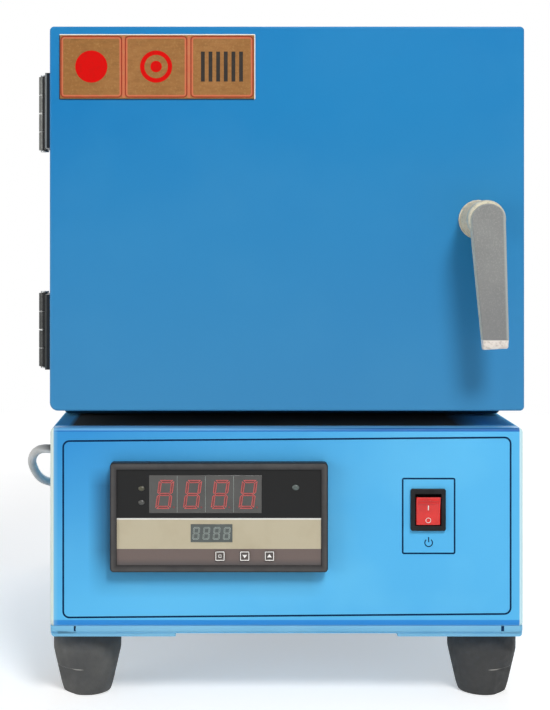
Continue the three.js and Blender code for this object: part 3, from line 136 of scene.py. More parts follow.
class Finish:
    """A material that is built up from one shader, with patterns that read the piece's own place."""

    def __init__(self, name, base, roughness, metallic=0.0, **sockets):
        self.material = bpy.data.materials.new(name)
        self.material.use_nodes = True
        self.tree = self.material.node_tree
        self.shader = self.tree.nodes["Principled BSDF"]
        self.shader.inputs["Base Color"].default_value = base
        self.shader.inputs["Roughness"].default_value = roughness
        self.shader.inputs["Metallic"].default_value = metallic
        for socket, value in sockets.items():
            self.shader.inputs[socket.replace("_", " ")].default_value = value
        self.base = base
        self.places = None

    def add(self, kind, **settings):
        node = self.tree.nodes.new(kind)
        for name, value in settings.items():
            setattr(node, name, value)
        return node

    def join(self, source, target):
        self.tree.links.new(source, target)

    # Where a point is on the piece, in metres, stretched along the axes if asked
    def place(self, stretch=(1, 1, 1)):
        if self.places is None:
            self.places = self.add("ShaderNodeTexCoord").outputs["Object"]
        if tuple(stretch) == (1, 1, 1):
            return self.places
        mapping = self.add("ShaderNodeMapping")
        mapping.inputs["Scale"].default_value = stretch
        self.join(self.places, mapping.inputs["Vector"])
        return mapping.outputs["Vector"]

    def axis(self, name):
        parts = self.add("ShaderNodeSeparateXYZ")
        self.join(self.place(), parts.inputs["Vector"])
        return parts.outputs[name]

    def clouds(self, scale, detail, stretch=(1, 1, 1)):
        noise = self.add("ShaderNodeTexNoise")
        noise.inputs["Scale"].default_value = scale
        noise.inputs["Detail"].default_value = detail
        self.join(self.place(stretch), noise.inputs["Vector"])
        return noise.outputs["Fac"]

    def cells(self, scale):
        pattern = self.add("ShaderNodeTexVoronoi")
        pattern.inputs["Scale"].default_value = scale
        self.join(self.place(), pattern.inputs["Vector"])
        return pattern.outputs["Distance"]

    def spread(self, value, low, high, to_low=0.0, to_high=1.0):
        remap = self.add("ShaderNodeMapRange")
        limits = {"From Min": low, "From Max": high, "To Min": to_low, "To Max": to_high}
        for socket, number in limits.items():
            remap.inputs[socket].default_value = number
        self.join(value, remap.inputs["Value"])
        return remap.outputs["Result"]

    def sum(self, operation, first, second):
        maths = self.add("ShaderNodeMath", operation=operation)
        for socket, value in zip(maths.inputs, (first, second)):
            if isinstance(value, (int, float)):
                socket.default_value = value
            else:
                self.join(value, socket)
        return maths.outputs["Value"]

    # 0 before the first place along an axis of the piece, and the whole amount past the second
    def band(self, axis_name, start, end, amount=1.0):
        return self.spread(self.axis(axis_name), start, end, 0, amount)

    def away(self, axis_name, place):
        return self.sum("ABSOLUTE", self.sum("SUBTRACT", self.axis(axis_name), place), 0.0)

    # Where two or more patterns are all there
    def overlap(self, pattern, *others):
        for other in others:
            pattern = self.sum("MULTIPLY", pattern, other)
        return pattern

    def opposite(self, pattern):
        return self.sum("SUBTRACT", 1.0, pattern)

    # Mixes a second colour over what the shader has so far, where all of some patterns are
    def tint(self, second, *patterns):
        factor = self.overlap(*patterns)
        mix = self.add("ShaderNodeMix", data_type="RGBA")
        target = self.shader.inputs["Base Color"]
        if target.is_linked:
            self.join(target.links[0].from_socket, mix.inputs["A"])
        else:
            mix.inputs["A"].default_value = self.base
        mix.inputs["B"].default_value = second
        self.join(factor, mix.inputs["Factor"])
        self.join(mix.outputs["Result"], target)
        return self

    # A second colour in soft spots, which cover more of the piece the lower the two levels are
    def mottle(self, scale, detail, low, high, second, amount=1.0, stretch=(1, 1, 1)):
        return self.tint(second, self.spread(self.clouds(scale, detail, stretch), low, high, 0, amount))

    def rough(self, scale, detail, low, high):
        uneven = self.spread(self.clouds(scale, detail), 0.3, 0.7, low, high)
        self.join(uneven, self.shader.inputs["Roughness"])
        return self

    # Raises the surface by soft spots, over what has been raised before
    def relief(self, scale, detail, depth, strength=1.0, stretch=(1, 1, 1)):
        height = self.clouds(scale, detail, stretch)
        bump = self.add("ShaderNodeBump")
        bump.inputs["Distance"].default_value = depth
        bump.inputs["Strength"].default_value = strength
        target = self.shader.inputs["Normal"]
        if target.is_linked:
            self.join(target.links[0].from_socket, bump.inputs["Normal"])
        self.join(height, bump.inputs["Height"])
        self.join(bump.outputs["Normal"], target)
        return self


grey_pvc = Finish("grey_pvc", colour(230, 229, 226), 0.55, Specular_IOR_Level=0.3)
grey_pvc.mottle(60, 4, 0.35, 0.7, colour(212, 211, 207))
# Painted shade: the cord's upper side near the gland is darkened, where the body above shades it.
cord_shade_start, cord_shade_end = -0.218, -0.202
cord_centre_low, cord_centre_high = 0.1325, 0.1350
by_gland = grey_pvc.band("X", cord_shade_start, cord_shade_end, 0.95)
upper_side = grey_pvc.band("Z", cord_centre_low, cord_centre_high)
grey_pvc.tint(colour(70, 69, 68), by_gland, upper_side)
grey_pvc.rough(300, 3, 0.45, 0.65)
grey_pvc.relief(1400, 2, 0.00008, 0.6)
line.materials.append(grey_pvc.material)

# Plug on the cord's end, moulded in the cord's own grey PVC: a grip with finger ridges, a ringed
# sleeve that tapers to the cord, and two round pins.
cord_end = wound_points[-1]
plug_low, plug_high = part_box("power_plug")
sleeve_length = 0.019
sleeve_overlap = 0.004
sleeve_start_radius = 0.0062
sleeve_end_radius = 0.009
sleeve_rings = 5
ring_pitch = 0.0032
ring_growth = 0.0005
ring_height = 0.0007
grip_side_gap = 0.0008
grip_corner = 0.008
grip_edge = 0.0022
grip_ridges = 5
first_ridge = 0.011
ridge_pitch = 0.0042
ridge_inset = 0.0016
ridge_half = Vector((0.0011, 0.0014, 0.0072))
ridge_edge = 0.0008
pin_length = 0.019
pin_radius = 0.0024
pin_tip = 0.0018
pin_tip_radius = 0.0017
pin_spread = 0.019


# A bmesh of a box between two corners
def block(low, high):
    shape = bmesh.new()
    low, high = Vector(low), Vector(high)
    fit = Matrix.Translation((low + high) / 2) @ Matrix.Diagonal((*(high - low), 1))
    bmesh.ops.create_cube(shape, size=1, matrix=fit)
    return shape


def round_off(shape, edges, radius, segments):
    bmesh.ops.bevel(shape, geom=edges, offset=radius, offset_type="OFFSET", segments=segments,
                    profile=0.5, affect="EDGES", material=-1, clamp_overlap=True)


def edges_along(shape, axis):
    return [edge for edge in shape.edges
            if abs((edge.verts[0].co - edge.verts[1].co).normalized()[axis]) > 0.999]


def sharp_edges(shape, degrees):
    limit = math.radians(degrees)
    return [edge for edge in shape.edges if len(edge.link_faces) == 2 and edge.calc_face_angle() > limit]


# Makes a bmesh a piece of the furnace: smooth where it curves, crisp where it turns sharply
def finished(shape, name, body, finish, stands_for=(), crisp=38, wall=0.0):
    for face in shape.faces:
        face.smooth = True
    mesh = bpy.data.meshes.new(name)
    shape.to_mesh(mesh)
    shape.free()
    mesh.set_sharp_from_angle(angle=math.radians(crisp))
    mesh.materials.append(finish.material)
    piece = bpy.data.objects.new(name, mesh)
    bpy.context.scene.collection.objects.link(piece)
    if wall:
        sheet = piece.modifiers.new("sheet", "SOLIDIFY")
        sheet.thickness = wall
        sheet.offset = -1
    even = piece.modifiers.new("even", "WEIGHTED_NORMAL")
    even.keep_sharp = True
    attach(piece, body)
    if stands_for:
        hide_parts(*stands_for)
    return piece


# A profile of (radius, height) points turned about an axis through a place
def turned(profile, steps, place=(0, 0, 0), axis="Z"):
    shape = bmesh.new()
    verts = [shape.verts.new((radius, 0, height)) for radius, height in profile]
    lines = [shape.edges.new(pair) for pair in zip(verts, verts[1:])]
    bmesh.ops.spin(shape, geom=verts + lines, cent=(0, 0, 0), axis=(0, 0, 1),
                   angle=math.tau, steps=steps, use_merge=True)
    bmesh.ops.remove_doubles(shape, verts=shape.verts, dist=1e-7)
    bmesh.ops.recalc_face_normals(shape, faces=shape.faces)
    turns = {
        "Z": Matrix(),
        "X": Matrix.Rotation(math.pi / 2, 4, "Y"),
        "-Y": Matrix.Rotation(math.pi / 2, 4, "X"),
    }
    shape.transform(Matrix.Translation(Vector(place)) @ turns[axis])
    return shape


def merge_shapes(shapes):
    whole = bmesh.new()
    for shape in shapes:
        holder = bpy.data.meshes.new("holder")
        shape.to_mesh(holder)
        shape.free()
        whole.from_mesh(holder)
        bpy.data.meshes.remove(holder)
    return whole


plug_start = cord_end.x + butt_gap
grip_low = Vector((plug_start + sleeve_length - sleeve_overlap, plug_low.y + grip_side_gap, plug_low.z))
grip_high = Vector((plug_high.x - pin_length, plug_high.y - grip_side_gap, plug_high.z))
grip = block(grip_low, grip_high)
round_off(grip, edges_along(grip, 0), grip_corner, 5)
round_off(grip, sharp_edges(grip, 60), grip_edge, 3)
for place in range(grip_ridges):
    for sign in (-1, 1):
        ridge_y = cord_end.y + sign * (plug_high.y - cord_end.y - ridge_inset)
        ridge_middle = Vector((grip_low.x + first_ridge + place * ridge_pitch, ridge_y, cord_end.z))
        ridge = block(ridge_middle - ridge_half, ridge_middle + ridge_half)
        round_off(ridge, list(ridge.edges), ridge_edge, 2)
        grip = merge_shapes([grip, ridge])
sleeve_profile = [(0, 0), (0.0056, 0), (0.0064, 0.0006)]
for ring in range(sleeve_rings):
    foot = 0.0022 + ring * ring_pitch
    radius = sleeve_start_radius + ring * ring_growth
    sleeve_profile += [(radius, foot), (radius + ring_height, foot + 0.0008),
                       (radius + ring_height, foot + 0.0017), (radius + 0.0002, foot + 0.0022)]
sleeve_profile += [(sleeve_end_radius, sleeve_length), (0, sleeve_length)]
sleeve = turned(sleeve_profile, 32, (plug_start, cord_end.y, cord_end.z), "X")
plug_grip = finished(merge_shapes([grip, sleeve]), "plug_grip", "furnace", grey_pvc,
                     ["power_plug"])

zinc_steel = Finish("zinc_steel", colour(176, 179, 181), 0.32, 0.9)
zinc_steel.mottle(90, 4, 0.4, 0.75, colour(150, 152, 152))
zinc_steel.rough(600, 3, 0.26, 0.42)
zinc_steel.relief(1800, 2, 0.00004, 0.5)

pin_profile = [(0, 0), (pin_radius, 0), (pin_radius, pin_length - pin_tip),
               (pin_tip_radius, pin_length - 0.0004), (0, pin_length)]
pins = []
for sign in (-1, 1):
    pin_foot = (grip_high.x - 0.0001, cord_end.y + sign * pin_spread / 2, cord_end.z)
    pins.append(turned(pin_profile, 24, pin_foot, "X"))
plug_pins = finished(merge_shapes(pins), "plug_pins", "furnace", zinc_steel)

# Cord tie: a soft black strap of woven hook tape, closed round all the turns of the coil where
# it lies on the bench behind the furnace.
strap_width = 0.009
strap_gap = 0.0006
strap_wall = 0.0003
strap_lift = 0.0004
strap_bend = 0.0045
strap_bearing = 205
strap_reach = turns_in_a_layer * turn_pitch + cord_diameter
strap_inner = coil_inner_radius - cord_diameter / 2
strap = block(
    (-strap_width / 2, strap_inner - strap_gap, 0),
    (strap_width / 2, strap_inner + strap_reach + strap_gap,
     layer_pitch + cord_diameter + strap_gap + strap_lift),
)
round_off(strap, edges_along(strap, 0), strap_bend, 6)
strap_ends = [face for face in strap.faces if abs(face.normal.x) > 0.9]
bmesh.ops.delete(strap, geom=strap_ends, context="FACES_ONLY")
strap.transform(Matrix.Translation((coil_centre.x, coil_centre.y, strap_lift))
                @ Matrix.Rotation(math.radians(strap_bearing), 4, "Z"))
black_strap = Finish("black_strap", colour(45, 46, 48), 0.85)
black_strap.relief(1500, 2, 0.0002, stretch=(1, 1, 3))
black_strap.mottle(500, 3, 0.4, 0.7, colour(66, 67, 69))
cord_tie = finished(strap, "cord_tie", "furnace", black_strap, wall=strap_wall)
cord_tie.modifiers["sheet"].offset = 1

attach(mains_lead, "furnace")
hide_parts("power_cord", "cord_coil")

# Studio: a pale floor that keeps the furnace's shadow, a white surround, a broad key light from
# the upper right, a weaker one from the left and one behind.
floor_reach = 6
floor_shape = bmesh.new()
bmesh.ops.create_grid(floor_shape, x_segments=1, y_segments=1, size=floor_reach)
floor_mesh = bpy.data.meshes.new("floor")
floor_shape.to_mesh(floor_mesh)
floor_shape.free()
floor = bpy.data.objects.new("floor", floor_mesh)
bpy.context.scene.collection.objects.link(floor)


# 1 for rays that see a white surround: straight from the camera, mirrored or through glass
def seen(tree):
    path = tree.nodes.new("ShaderNodeLightPath")
    total = path.outputs["Is Camera Ray"]
    for name in ("Is Glossy Ray", "Is Transmission Ray"):
        most = tree.nodes.new("ShaderNodeMath")
        most.operation = "MAXIMUM"
        tree.links.new(total, most.inputs[0])
        tree.links.new(path.outputs[name], most.inputs[1])
        total = most.outputs["Value"]
    return total


near_reach = 0.55
far_reach = 1.5
floor_glow = 0.42
surround_light = 0.23
pale_floor = Finish("pale_floor", (0.84, 0.84, 0.84, 1), 0.9)
glow = pale_floor.add("ShaderNodeEmission")
glow.inputs["Strength"].default_value = floor_glow
white = pale_floor.add("ShaderNodeEmission")
white.inputs["Strength"].default_value = 1.0
lit = pale_floor.add("ShaderNodeAddShader")
paling = pale_floor.add("ShaderNodeMixShader")
either = pale_floor.add("ShaderNodeMixShader")
distance = pale_floor.add("ShaderNodeVectorMath", operation="LENGTH")
pale_floor.join(pale_floor.place(), distance.inputs[0])
pale_floor.join(pale_floor.shader.outputs["BSDF"], lit.inputs[0])
pale_floor.join(glow.outputs["Emission"], lit.inputs[1])
pale_floor.join(pale_floor.spread(distance.outputs["Value"], near_reach, far_reach), paling.inputs["Fac"])
pale_floor.join(lit.outputs["Shader"], paling.inputs[1])
pale_floor.join(white.outputs["Emission"], paling.inputs[2])
pale_floor.join(seen(pale_floor.tree), either.inputs["Fac"])
pale_floor.join(pale_floor.shader.outputs["BSDF"], either.inputs[1])
pale_floor.join(paling.outputs["Shader"], either.inputs[2])
pale_floor.join(either.outputs["Shader"], pale_floor.tree.nodes["Material Output"].inputs["Surface"])
floor_mesh.materials.append(pale_floor.material)

surround = bpy.data.worlds.new("surround")
bpy.context.scene.world = surround
surround.use_nodes = True
sky = surround.node_tree.nodes["Background"]
sky.inputs["Color"].default_value = (1, 1, 1, 1)
level = surround.node_tree.nodes.new("ShaderNodeMapRange")
level.inputs["To Min"].default_value = surround_light
level.inputs["To Max"].default_value = 1.0
surround.node_tree.links.new(seen(surround.node_tree), level.inputs["Value"])
surround.node_tree.links.new(level.outputs["Result"], sky.inputs["Strength"])


def lamp(name, place, aim, size, watts):
    light = bpy.data.lights.new(name, "AREA")
    light.shape = "DISK"
    light.size = size
    light.energy = watts
    holder = bpy.data.objects.new(name, light)
    bpy.context.scene.collection.objects.link(holder)
    holder.location = place
    holder.rotation_euler = (Vector(aim) - Vector(place)).to_track_quat("-Z", "Y").to_euler()


middle_height = (0, 0, 0.28)
lamp("key", (0.62, -1.95, 2.1), middle_height, 0.8, 43)
lamp("fill", (-2.0, -1.2, 0.45), middle_height, 1.2, 13)
lamp("rear", (0.3, 1.9, 1.5), middle_height, 1.4, 20)
bpy.context.scene.view_settings.view_transform = "Standard"

# Feet: moulded rubber cones under the corners, each with a flat towards the box's own corner, a
# rim at the top and a recess below for its screw. A painted highlight runs as a thin pale line
# along the top of each flat on its outer side.
foot_flat_rise = 0.0207
foot_flat_depth = 0.0024
foot_recess_radius = 0.0085
foot_recess_depth = 0.012
foot_rim = 0.0155
foot_bottom_radius = 0.0181
foot_wall_step = 0.0003
ledge_highlight_width = 0.0005
ledge_highlight_reach = 0.1495
ledge_highlight_fade = 0.003
feet_middle = 0.0094
foot_rubber = Finish("foot_rubber", colour(92, 92, 91), 0.75, Specular_IOR_Level=0.3)
foot_rubber.mottle(60, 5, 0.42, 0.72, colour(112, 111, 108), 0.7)
foot_rubber.mottle(16, 3, 0.5, 0.75, colour(70, 71, 72), 0.6)
# Painted shade: the feet are darker towards the right, where less light reaches them.
foot_rubber.tint(colour(56, 57, 58), foot_rubber.band("X", -0.05, 0.15, 0.75))
# Painted highlight on the edge above each flat, on the feet's outer sides.
from_ledge_highlight = foot_rubber.away("Z", foot_flat_rise)
on_ledge_highlight = foot_rubber.spread(from_ledge_highlight, ledge_highlight_width, ledge_highlight_width / 2)
from_centre = foot_rubber.away("X", feet_middle)
outside = foot_rubber.spread(from_centre, ledge_highlight_reach, ledge_highlight_reach + ledge_highlight_fade)
foot_rubber.tint(colour(168, 166, 160), on_ledge_highlight, outside)
# Painted shade at the top of each foot, under the tray.
foot_rubber.tint(colour(40, 52, 62), foot_rubber.band("Z", 0.035, 0.045, 0.65))
foot_rubber.rough(220, 4, 0.62, 0.88)
foot_rubber.relief(900, 4, 0.00025, 0.7)


def foot_shape(node, side_sign, end_sign):
    low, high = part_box(node)
    top = (high.x - low.x) / 2
    height = high.z
    rim_foot = height - foot_rim
    slope = (top - foot_bottom_radius) / rim_foot
    profile = [(0, foot_recess_depth), (foot_recess_radius, foot_recess_depth), (foot_recess_radius, 0),
               (foot_bottom_radius - 0.0016, 0), (foot_bottom_radius - 0.0005, 0.0005),
               (foot_bottom_radius, 0.0016)]
    levels = [0.006, 0.012, 0.018, foot_flat_rise - foot_wall_step, foot_flat_rise + foot_wall_step, 0.026]
    profile += [(foot_bottom_radius + slope * z, z) for z in levels]
    profile += [(top - 0.0005, rim_foot - 0.002), (top - 0.0001, rim_foot), (top, rim_foot + 0.003),
                (top, height - 0.0006), (top - 0.0006, height), (0, height)]
    shape = turned(profile, 72)
    outward = Vector((side_sign, end_sign, 0)).normalized()
    for vert in shape.verts:
        reach = vert.co.dot(outward)
        limit = foot_bottom_radius - foot_flat_depth + slope * vert.co.z
        on_cone = vert.co.xy.length > foot_recess_radius + foot_wall_step
        if vert.co.z < foot_flat_rise and reach > limit and on_cone:
            vert.co -= outward * (reach - limit)
    shape.transform(Matrix.Translation(((low.x + high.x) / 2, (low.y + high.y) / 2, 0)))
    return shape


for end, end_sign in (("front", -1), ("rear", 1)):
    for side, side_sign in (("left", -1), ("right", 1)):
        node = f"foot_{end}_{side}"
        finished(foot_shape(node, side_sign, end_sign), f"{node}_cone", "furnace",
                 foot_rubber, [node], crisp=30)

# Control box, tray: folded from light blue sheet, with a low lip in front that is notched near
# each end, and two rails under it that the feet are screwed to.
light_paint = colour(100, 200, 252)
powder_grain = 0.00005


def powder_coat(name, base, deep, pale):
    finish = Finish(name, base, 0.42, Specular_IOR_Level=0.25)
    finish.mottle(4.2, 2, 0.38, 0.68, deep, 0.75)
    finish.mottle(11, 3, 0.5, 0.78, pale, 0.5)
    finish.rough(26, 3, 0.34, 0.5)
    finish.relief(700, 2, powder_grain, 0.55)
    finish.relief(9, 1, 0.0012, 0.12)
    return finish


light_blue = powder_coat("light_blue_coat", light_paint, colour(80, 184, 241), colour(114, 208, 253))
tray_blue = powder_coat("tray_coat", colour(132, 196, 230), colour(106, 178, 220), colour(158, 212, 238))

tray_low, tray_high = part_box("base_tray")
base_corner = 0.0032
sheet_wall = 0.0015
rail_height = 0.0029
rail_width = 0.0915
rail_inset = 0.0008
rail_bend = 0.0022
lip_rise = 0.0009
tray_bend = 0.0012
notches = [(-0.1468, -0.1454), (0.1669, 0.1691)]
notch_depth = 0.0038
seam_width = 0.0005
seam_ends = [(-0.1585, -0.1460), (0.1680, 0.1815)]


def split_at(shape, place, normal, **options):
    everything = list(shape.verts) + list(shape.edges) + list(shape.faces)
    bmesh.ops.bisect_plane(shape, geom=everything, plane_co=place, plane_no=normal, **options)


# Cuts an opening into the front wall of a sheet piece
def opened(shape, x0, x1, z0, z1):
    for x in (x0, x1):
        split_at(shape, (x, 0, 0), (1, 0, 0))
    for z in (z0, z1):
        split_at(shape, (0, 0, z), (0, 0, 1))
    inside = []
    for face in shape.faces:
        middle = face.calc_center_median()
        if face.normal.y < -0.7 and x0 < middle.x < x1 and z0 < middle.z < z1:
            inside.append(face)
    bmesh.ops.delete(shape, geom=inside, context="FACES")


sheet_low = tray_low.z + rail_height
lip_top = tray_high.z + lip_rise
notch_low = lip_top - notch_depth
tray = block((tray_low.x, tray_low.y, sheet_low), (tray_high.x, tray_high.y, lip_top))
tray_roof = [face for face in tray.faces if face.normal.z > 0.9]
bmesh.ops.delete(tray, geom=tray_roof, context="FACES_ONLY")
round_off(tray, edges_along(tray, 2), base_corner, 6)
bottom_rim = [edge for edge in sharp_edges(tray, 40)
              if all(vert.co.z < sheet_low + 0.0001 for vert in edge.verts)]
round_off(tray, bottom_rim, tray_bend, 3)
for (x0, x1), (seam_start, seam_end) in zip(notches, seam_ends):
    opened(tray, x0, x1, notch_low, lip_top)
    opened(tray, seam_start, seam_end, notch_low, notch_low + seam_width)
finished(tray, "tray_sheet", "furnace", tray_blue, ["base_tray"], wall=sheet_wall)
for side, sign in (("left", -1), ("right", 1)):
    edge_x = tray_low.x + rail_inset if sign < 0 else tray_high.x - rail_inset
    inner_x = edge_x - sign * rail_width
    rail = block((min(edge_x, inner_x), tray_low.y + rail_inset / 2, tray_low.z),
                 (max(edge_x, inner_x), tray_high.y - rail_inset / 2, sheet_low - 0.0001))
    outer_low = [edge for edge in edges_along(rail, 1)
                 if abs(edge.verts[0].co.x - edge_x) < 1e-6 and edge.verts[0].co.z < tray_low.z + 1e-6]
    round_off(rail, outer_low, rail_bend, 5)
    round_off(rail, sharp_edges(rail, 60), 0.0003, 2)
    finished(rail, f"foot_rail_{side}_bar", "furnace", tray_blue)

# Control box, front panel: a pan folded from light blue sheet, with a wider bend along its lower
# edge and openings for the controller and the power switch. Its paint carries painted shade, darkest
# at the upper left, on its top and lower bends and round the controller's left and lower edges, and
# painted light on its side bends, its top flange and just above the lip.
fold_radius = 0.0024
bend_steps = 8
panel_low, panel_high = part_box("front_panel")


# The edges round the front face of a shape
def front_edges(shape, face_y, degrees):
    return [edge for edge in sharp_edges(shape, degrees)
            if all(vert.co.y < face_y + 1e-5 for vert in edge.verts)]


# A bmesh of a pan folded from sheet and open at its back, with its front edges and corners round
def folded_pan(low, high, corners, fold=fold_radius, lower_bend=0.0, setback=0.0):
    shape = block(low, high)
    back = [face for face in shape.faces if face.normal.y > 0.9]
    bmesh.ops.delete(shape, geom=back, context="FACES_ONLY")
    middle = (Vector(low) + Vector(high)) / 2
    radii = {(-1, -1): corners[0], (1, -1): corners[1], (1, 1): corners[2], (-1, 1): corners[3]}
    for edge in edges_along(shape, 1):
        place = (edge.verts[0].co + edge.verts[1].co) / 2 - middle
        radius = radii[(-1 if place.x < 0 else 1, -1 if place.z < 0 else 1)]
        round_off(shape, [edge], radius, 6)
    round_off(shape, front_edges(shape, low[1], 40), fold, 5)
    if lower_bend:
        for step in range(1, bend_steps + 1):
            rise = lower_bend * (1 - math.cos(math.radians(90) * step / bend_steps))
            split_at(shape, (0, 0, low[2] + rise), (0, 0, 1))
        for vert in shape.verts:
            left = lower_bend - (vert.co.z - low[2])
            if left > 0:
                fall = 1 - math.sqrt(max(1 - (left / lower_bend) ** 2, 0))
                vert.co.y = max(vert.co.y, low[1] + setback * fall)
    return shape


panel_lower_bend = 0.0055
panel_setback = 0.0019
bezel_low, bezel_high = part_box("controller_bezel")
panel_blue = powder_coat("panel_coat", light_paint, colour(82, 184, 242), colour(118, 212, 255))
panel_middle = (panel_low.x + panel_high.x) / 2
panel_half = (panel_high.x - panel_low.x) / 2
# Painted shade: the panel darkens towards its upper left.
from_right = panel_blue.band("X", panel_high.x, panel_low.x)
from_below = panel_blue.band("Z", panel_low.z, panel_high.z)
shaded_upper_left = panel_blue.spread(panel_blue.overlap(from_right, from_below), 0.1, 0.9, 0, 0.9)
panel_blue.tint(colour(46, 146, 216), shaded_upper_left)
# Painted shade on the lower bend.
below_face = panel_blue.band("Z", panel_low.z + panel_lower_bend, panel_low.z + 0.0048, 0.9)
panel_blue.tint(colour(40, 140, 224), below_face)
# Painted light just above the tray's lip, over the shade at the gap.
by_lip = panel_blue.band("Z", panel_low.z + 0.0016, panel_low.z + 0.0008, 0.85)
panel_blue.tint(colour(150, 208, 240), by_lip)
# Painted light on the top flange, which the door's overhang shades, and painted shade on the top bend,
# deepest towards the right.
face_top = panel_high.z - fold_radius
above_face = panel_blue.band("Z", face_top - 0.0002, face_top)
panel_blue.tint(colour(112, 176, 220), above_face, 0.7)
before_top = panel_blue.band("Y", panel_low.y + 0.0021, panel_low.y + 0.0014)
on_bend = panel_blue.overlap(above_face, before_top)
towards_right = panel_blue.band("X", -0.06, 0.08, 0.95)
panel_blue.tint(colour(0, 92, 164), on_bend, towards_right)
below_bend = panel_blue.band("Z", panel_high.z - 0.0016, panel_high.z - 0.0019)
panel_blue.tint(colour(24, 112, 196), above_face, below_bend)
# Painted highlights on the side bends, cream at the left and pale blue at the right, with a paler band
# beside the left bend.
from_middle = panel_blue.away("X", panel_middle)
on_side_bend = panel_blue.spread(from_middle, panel_half - 0.003, panel_half - 0.0022, 0, 0.85)
beside_bend = panel_blue.spread(from_middle, panel_half - 0.006, panel_half - 0.0025, 0, 0.4)
not_side = panel_blue.band("Y", panel_low.y + 0.003, panel_low.y + 0.0022)
on_left = panel_blue.band("X", 0.0, -0.05)
on_right = panel_blue.band("X", 0.0, 0.05)
panel_blue.tint(colour(160, 214, 236), beside_bend, on_left)
panel_blue.tint(colour(236, 242, 226), on_side_bend, not_side)
panel_blue.tint(colour(206, 246, 255), on_side_bend, not_side, on_right)
# Painted shadow of the controller on the panel, to its left and below it.
past_left = panel_blue.band("X", bezel_low.x - 0.017, bezel_low.x - 0.006, 0.6)
past_right = panel_blue.band("X", bezel_high.x, bezel_high.x - 0.012)
past_foot = panel_blue.band("Z", bezel_low.z - 0.021, bezel_low.z + 0.014)
past_head = panel_blue.band("Z", bezel_high.z - 0.004, bezel_high.z - 0.018)
panel_blue.tint(colour(10, 44, 78), past_left, past_right, past_foot, past_head)
cut_gap = 0.0003
switch_body_width = 0.022
switch_body_height = 0.0274
housing_low, housing_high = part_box("controller_housing")
switch_middle = sum(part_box("switch_frame"), Vector()) / 2
panel = folded_pan(panel_low, panel_high, [base_corner] * 4, lower_bend=panel_lower_bend,
                   setback=panel_setback)
opened(panel, housing_low.x - cut_gap, housing_high.x + cut_gap,
       housing_low.z - cut_gap, housing_high.z + cut_gap)
cut_half_width = switch_body_width / 2 + cut_gap
cut_half_height = switch_body_height / 2 + cut_gap
opened(panel, switch_middle.x - cut_half_width, switch_middle.x + cut_half_width,
       switch_middle.z - cut_half_height, switch_middle.z + cut_half_height)
finished(panel, "panel_sheet", "furnace", panel_blue, ["front_panel"], wall=sheet_wall)

# Printed frames: dark blue lines screened on the panel, one round it and a smaller one round the
# power switch. The larger one isn't quite level.
printed_dark = Finish("printed_dark", colour(0, 40, 80), 0.55, Specular_IOR_Level=0.12)
printed_dark.mottle(200, 4, 0.5, 0.8, colour(4, 64, 108), 0.4)
ink = 0.00006


# Draws faces of a shape out into a solid
def drawn_out(shape, faces, way):
    made = bmesh.ops.extrude_face_region(shape, geom=faces)
    moved = [item for item in made["geom"] if isinstance(item, bmesh.types.BMVert)]
    bmesh.ops.translate(shape, verts=moved, vec=way)


# A flat mark printed on a front face: a line of a given width inside an outline, or the whole of it
def printed(outline, face_y, width=0.0, thick=ink):
    shape = bmesh.new()
    verts = [shape.verts.new((x, face_y, z)) for x, z in outline]
    face = shape.faces.new(verts)
    shape.normal_update()
    if face.normal.y > 0:
        bmesh.ops.reverse_faces(shape, faces=[face])
    if width:
        bmesh.ops.inset_region(shape, faces=[face], thickness=width, use_boundary=True, use_even_offset=True)
        bmesh.ops.delete(shape, geom=[face], context="FACES")
    drawn_out(shape, list(shape.faces), (0, -thick, 0))
    bmesh.ops.recalc_face_normals(shape, faces=shape.faces)
    return shape


def rounded(x0, x1, z0, z1, radius, steps=6):
    points = []
    for cx, cz, start in ((x1 - radius, z1 - radius, 0), (x0 + radius, z1 - radius, 90),
                          (x0 + radius, z0 + radius, 180), (x1 - radius, z0 + radius, 270)):
        for step in range(steps + 1):
            angle = math.radians(start + 90 * step / steps)
            points.append((cx + math.cos(angle) * radius, cz + math.sin(angle) * radius))
    return points


print_gap = 0.00002
panel_face = panel_low.y - print_gap
frame_low_x, frame_high_x = -0.1552, 0.17445
frame_low_z, frame_high_z = 0.0629, 0.1937
frame_corner = 0.0052
frame_line_width = 0.0013
frame_slant = 0.0027
frame_line = []
for x, z in rounded(frame_low_x, frame_high_x, frame_low_z, frame_high_z, frame_corner, 8):
    along = (x - frame_low_x) / (frame_high_x - frame_low_x) - 0.5
    frame_line.append((x, z + along * frame_slant))
switch_line_low_x, switch_line_high_x = 0.0940, 0.1333
switch_line_low_z, switch_line_high_z = 0.1087, 0.1648
switch_line_corner = 0.0016
switch_line_width = 0.0012
switch_line = rounded(switch_line_low_x, switch_line_high_x, switch_line_low_z, switch_line_high_z,
                      switch_line_corner)
frames = [printed(frame_line, panel_face, frame_line_width),
          printed(switch_line, panel_face, switch_line_width)]
finished(merge_shapes(frames), "printed_frames", "furnace", printed_dark)

# Painted shade in the notches of the tray's lip: thin black sheets set just behind the notches,
# which show as a dark tick in each notch and a line beside it.
notch_shade_rises = [0.0022, 0.0036]
notch_shade_depth = 0.0003


def rectangle(x0, x1, z0, z1):
    return [(x0, z0), (x1, z0), (x1, z1), (x0, z1)]


notch_shades = []
for (x0, x1), (seam_start, seam_end), rise in zip(notches, seam_ends, notch_shade_rises):
    tick = rectangle(x0, x1, notch_low, notch_low + rise)
    seam = rectangle(seam_start, seam_end, notch_low, notch_low + seam_width)
    notch_shades += [printed(tick, tray_low.y + notch_shade_depth), printed(seam, tray_low.y + 2 * notch_shade_depth)]
finished(merge_shapes(notch_shades), "lip_notch_shade", "furnace", printed_dark)

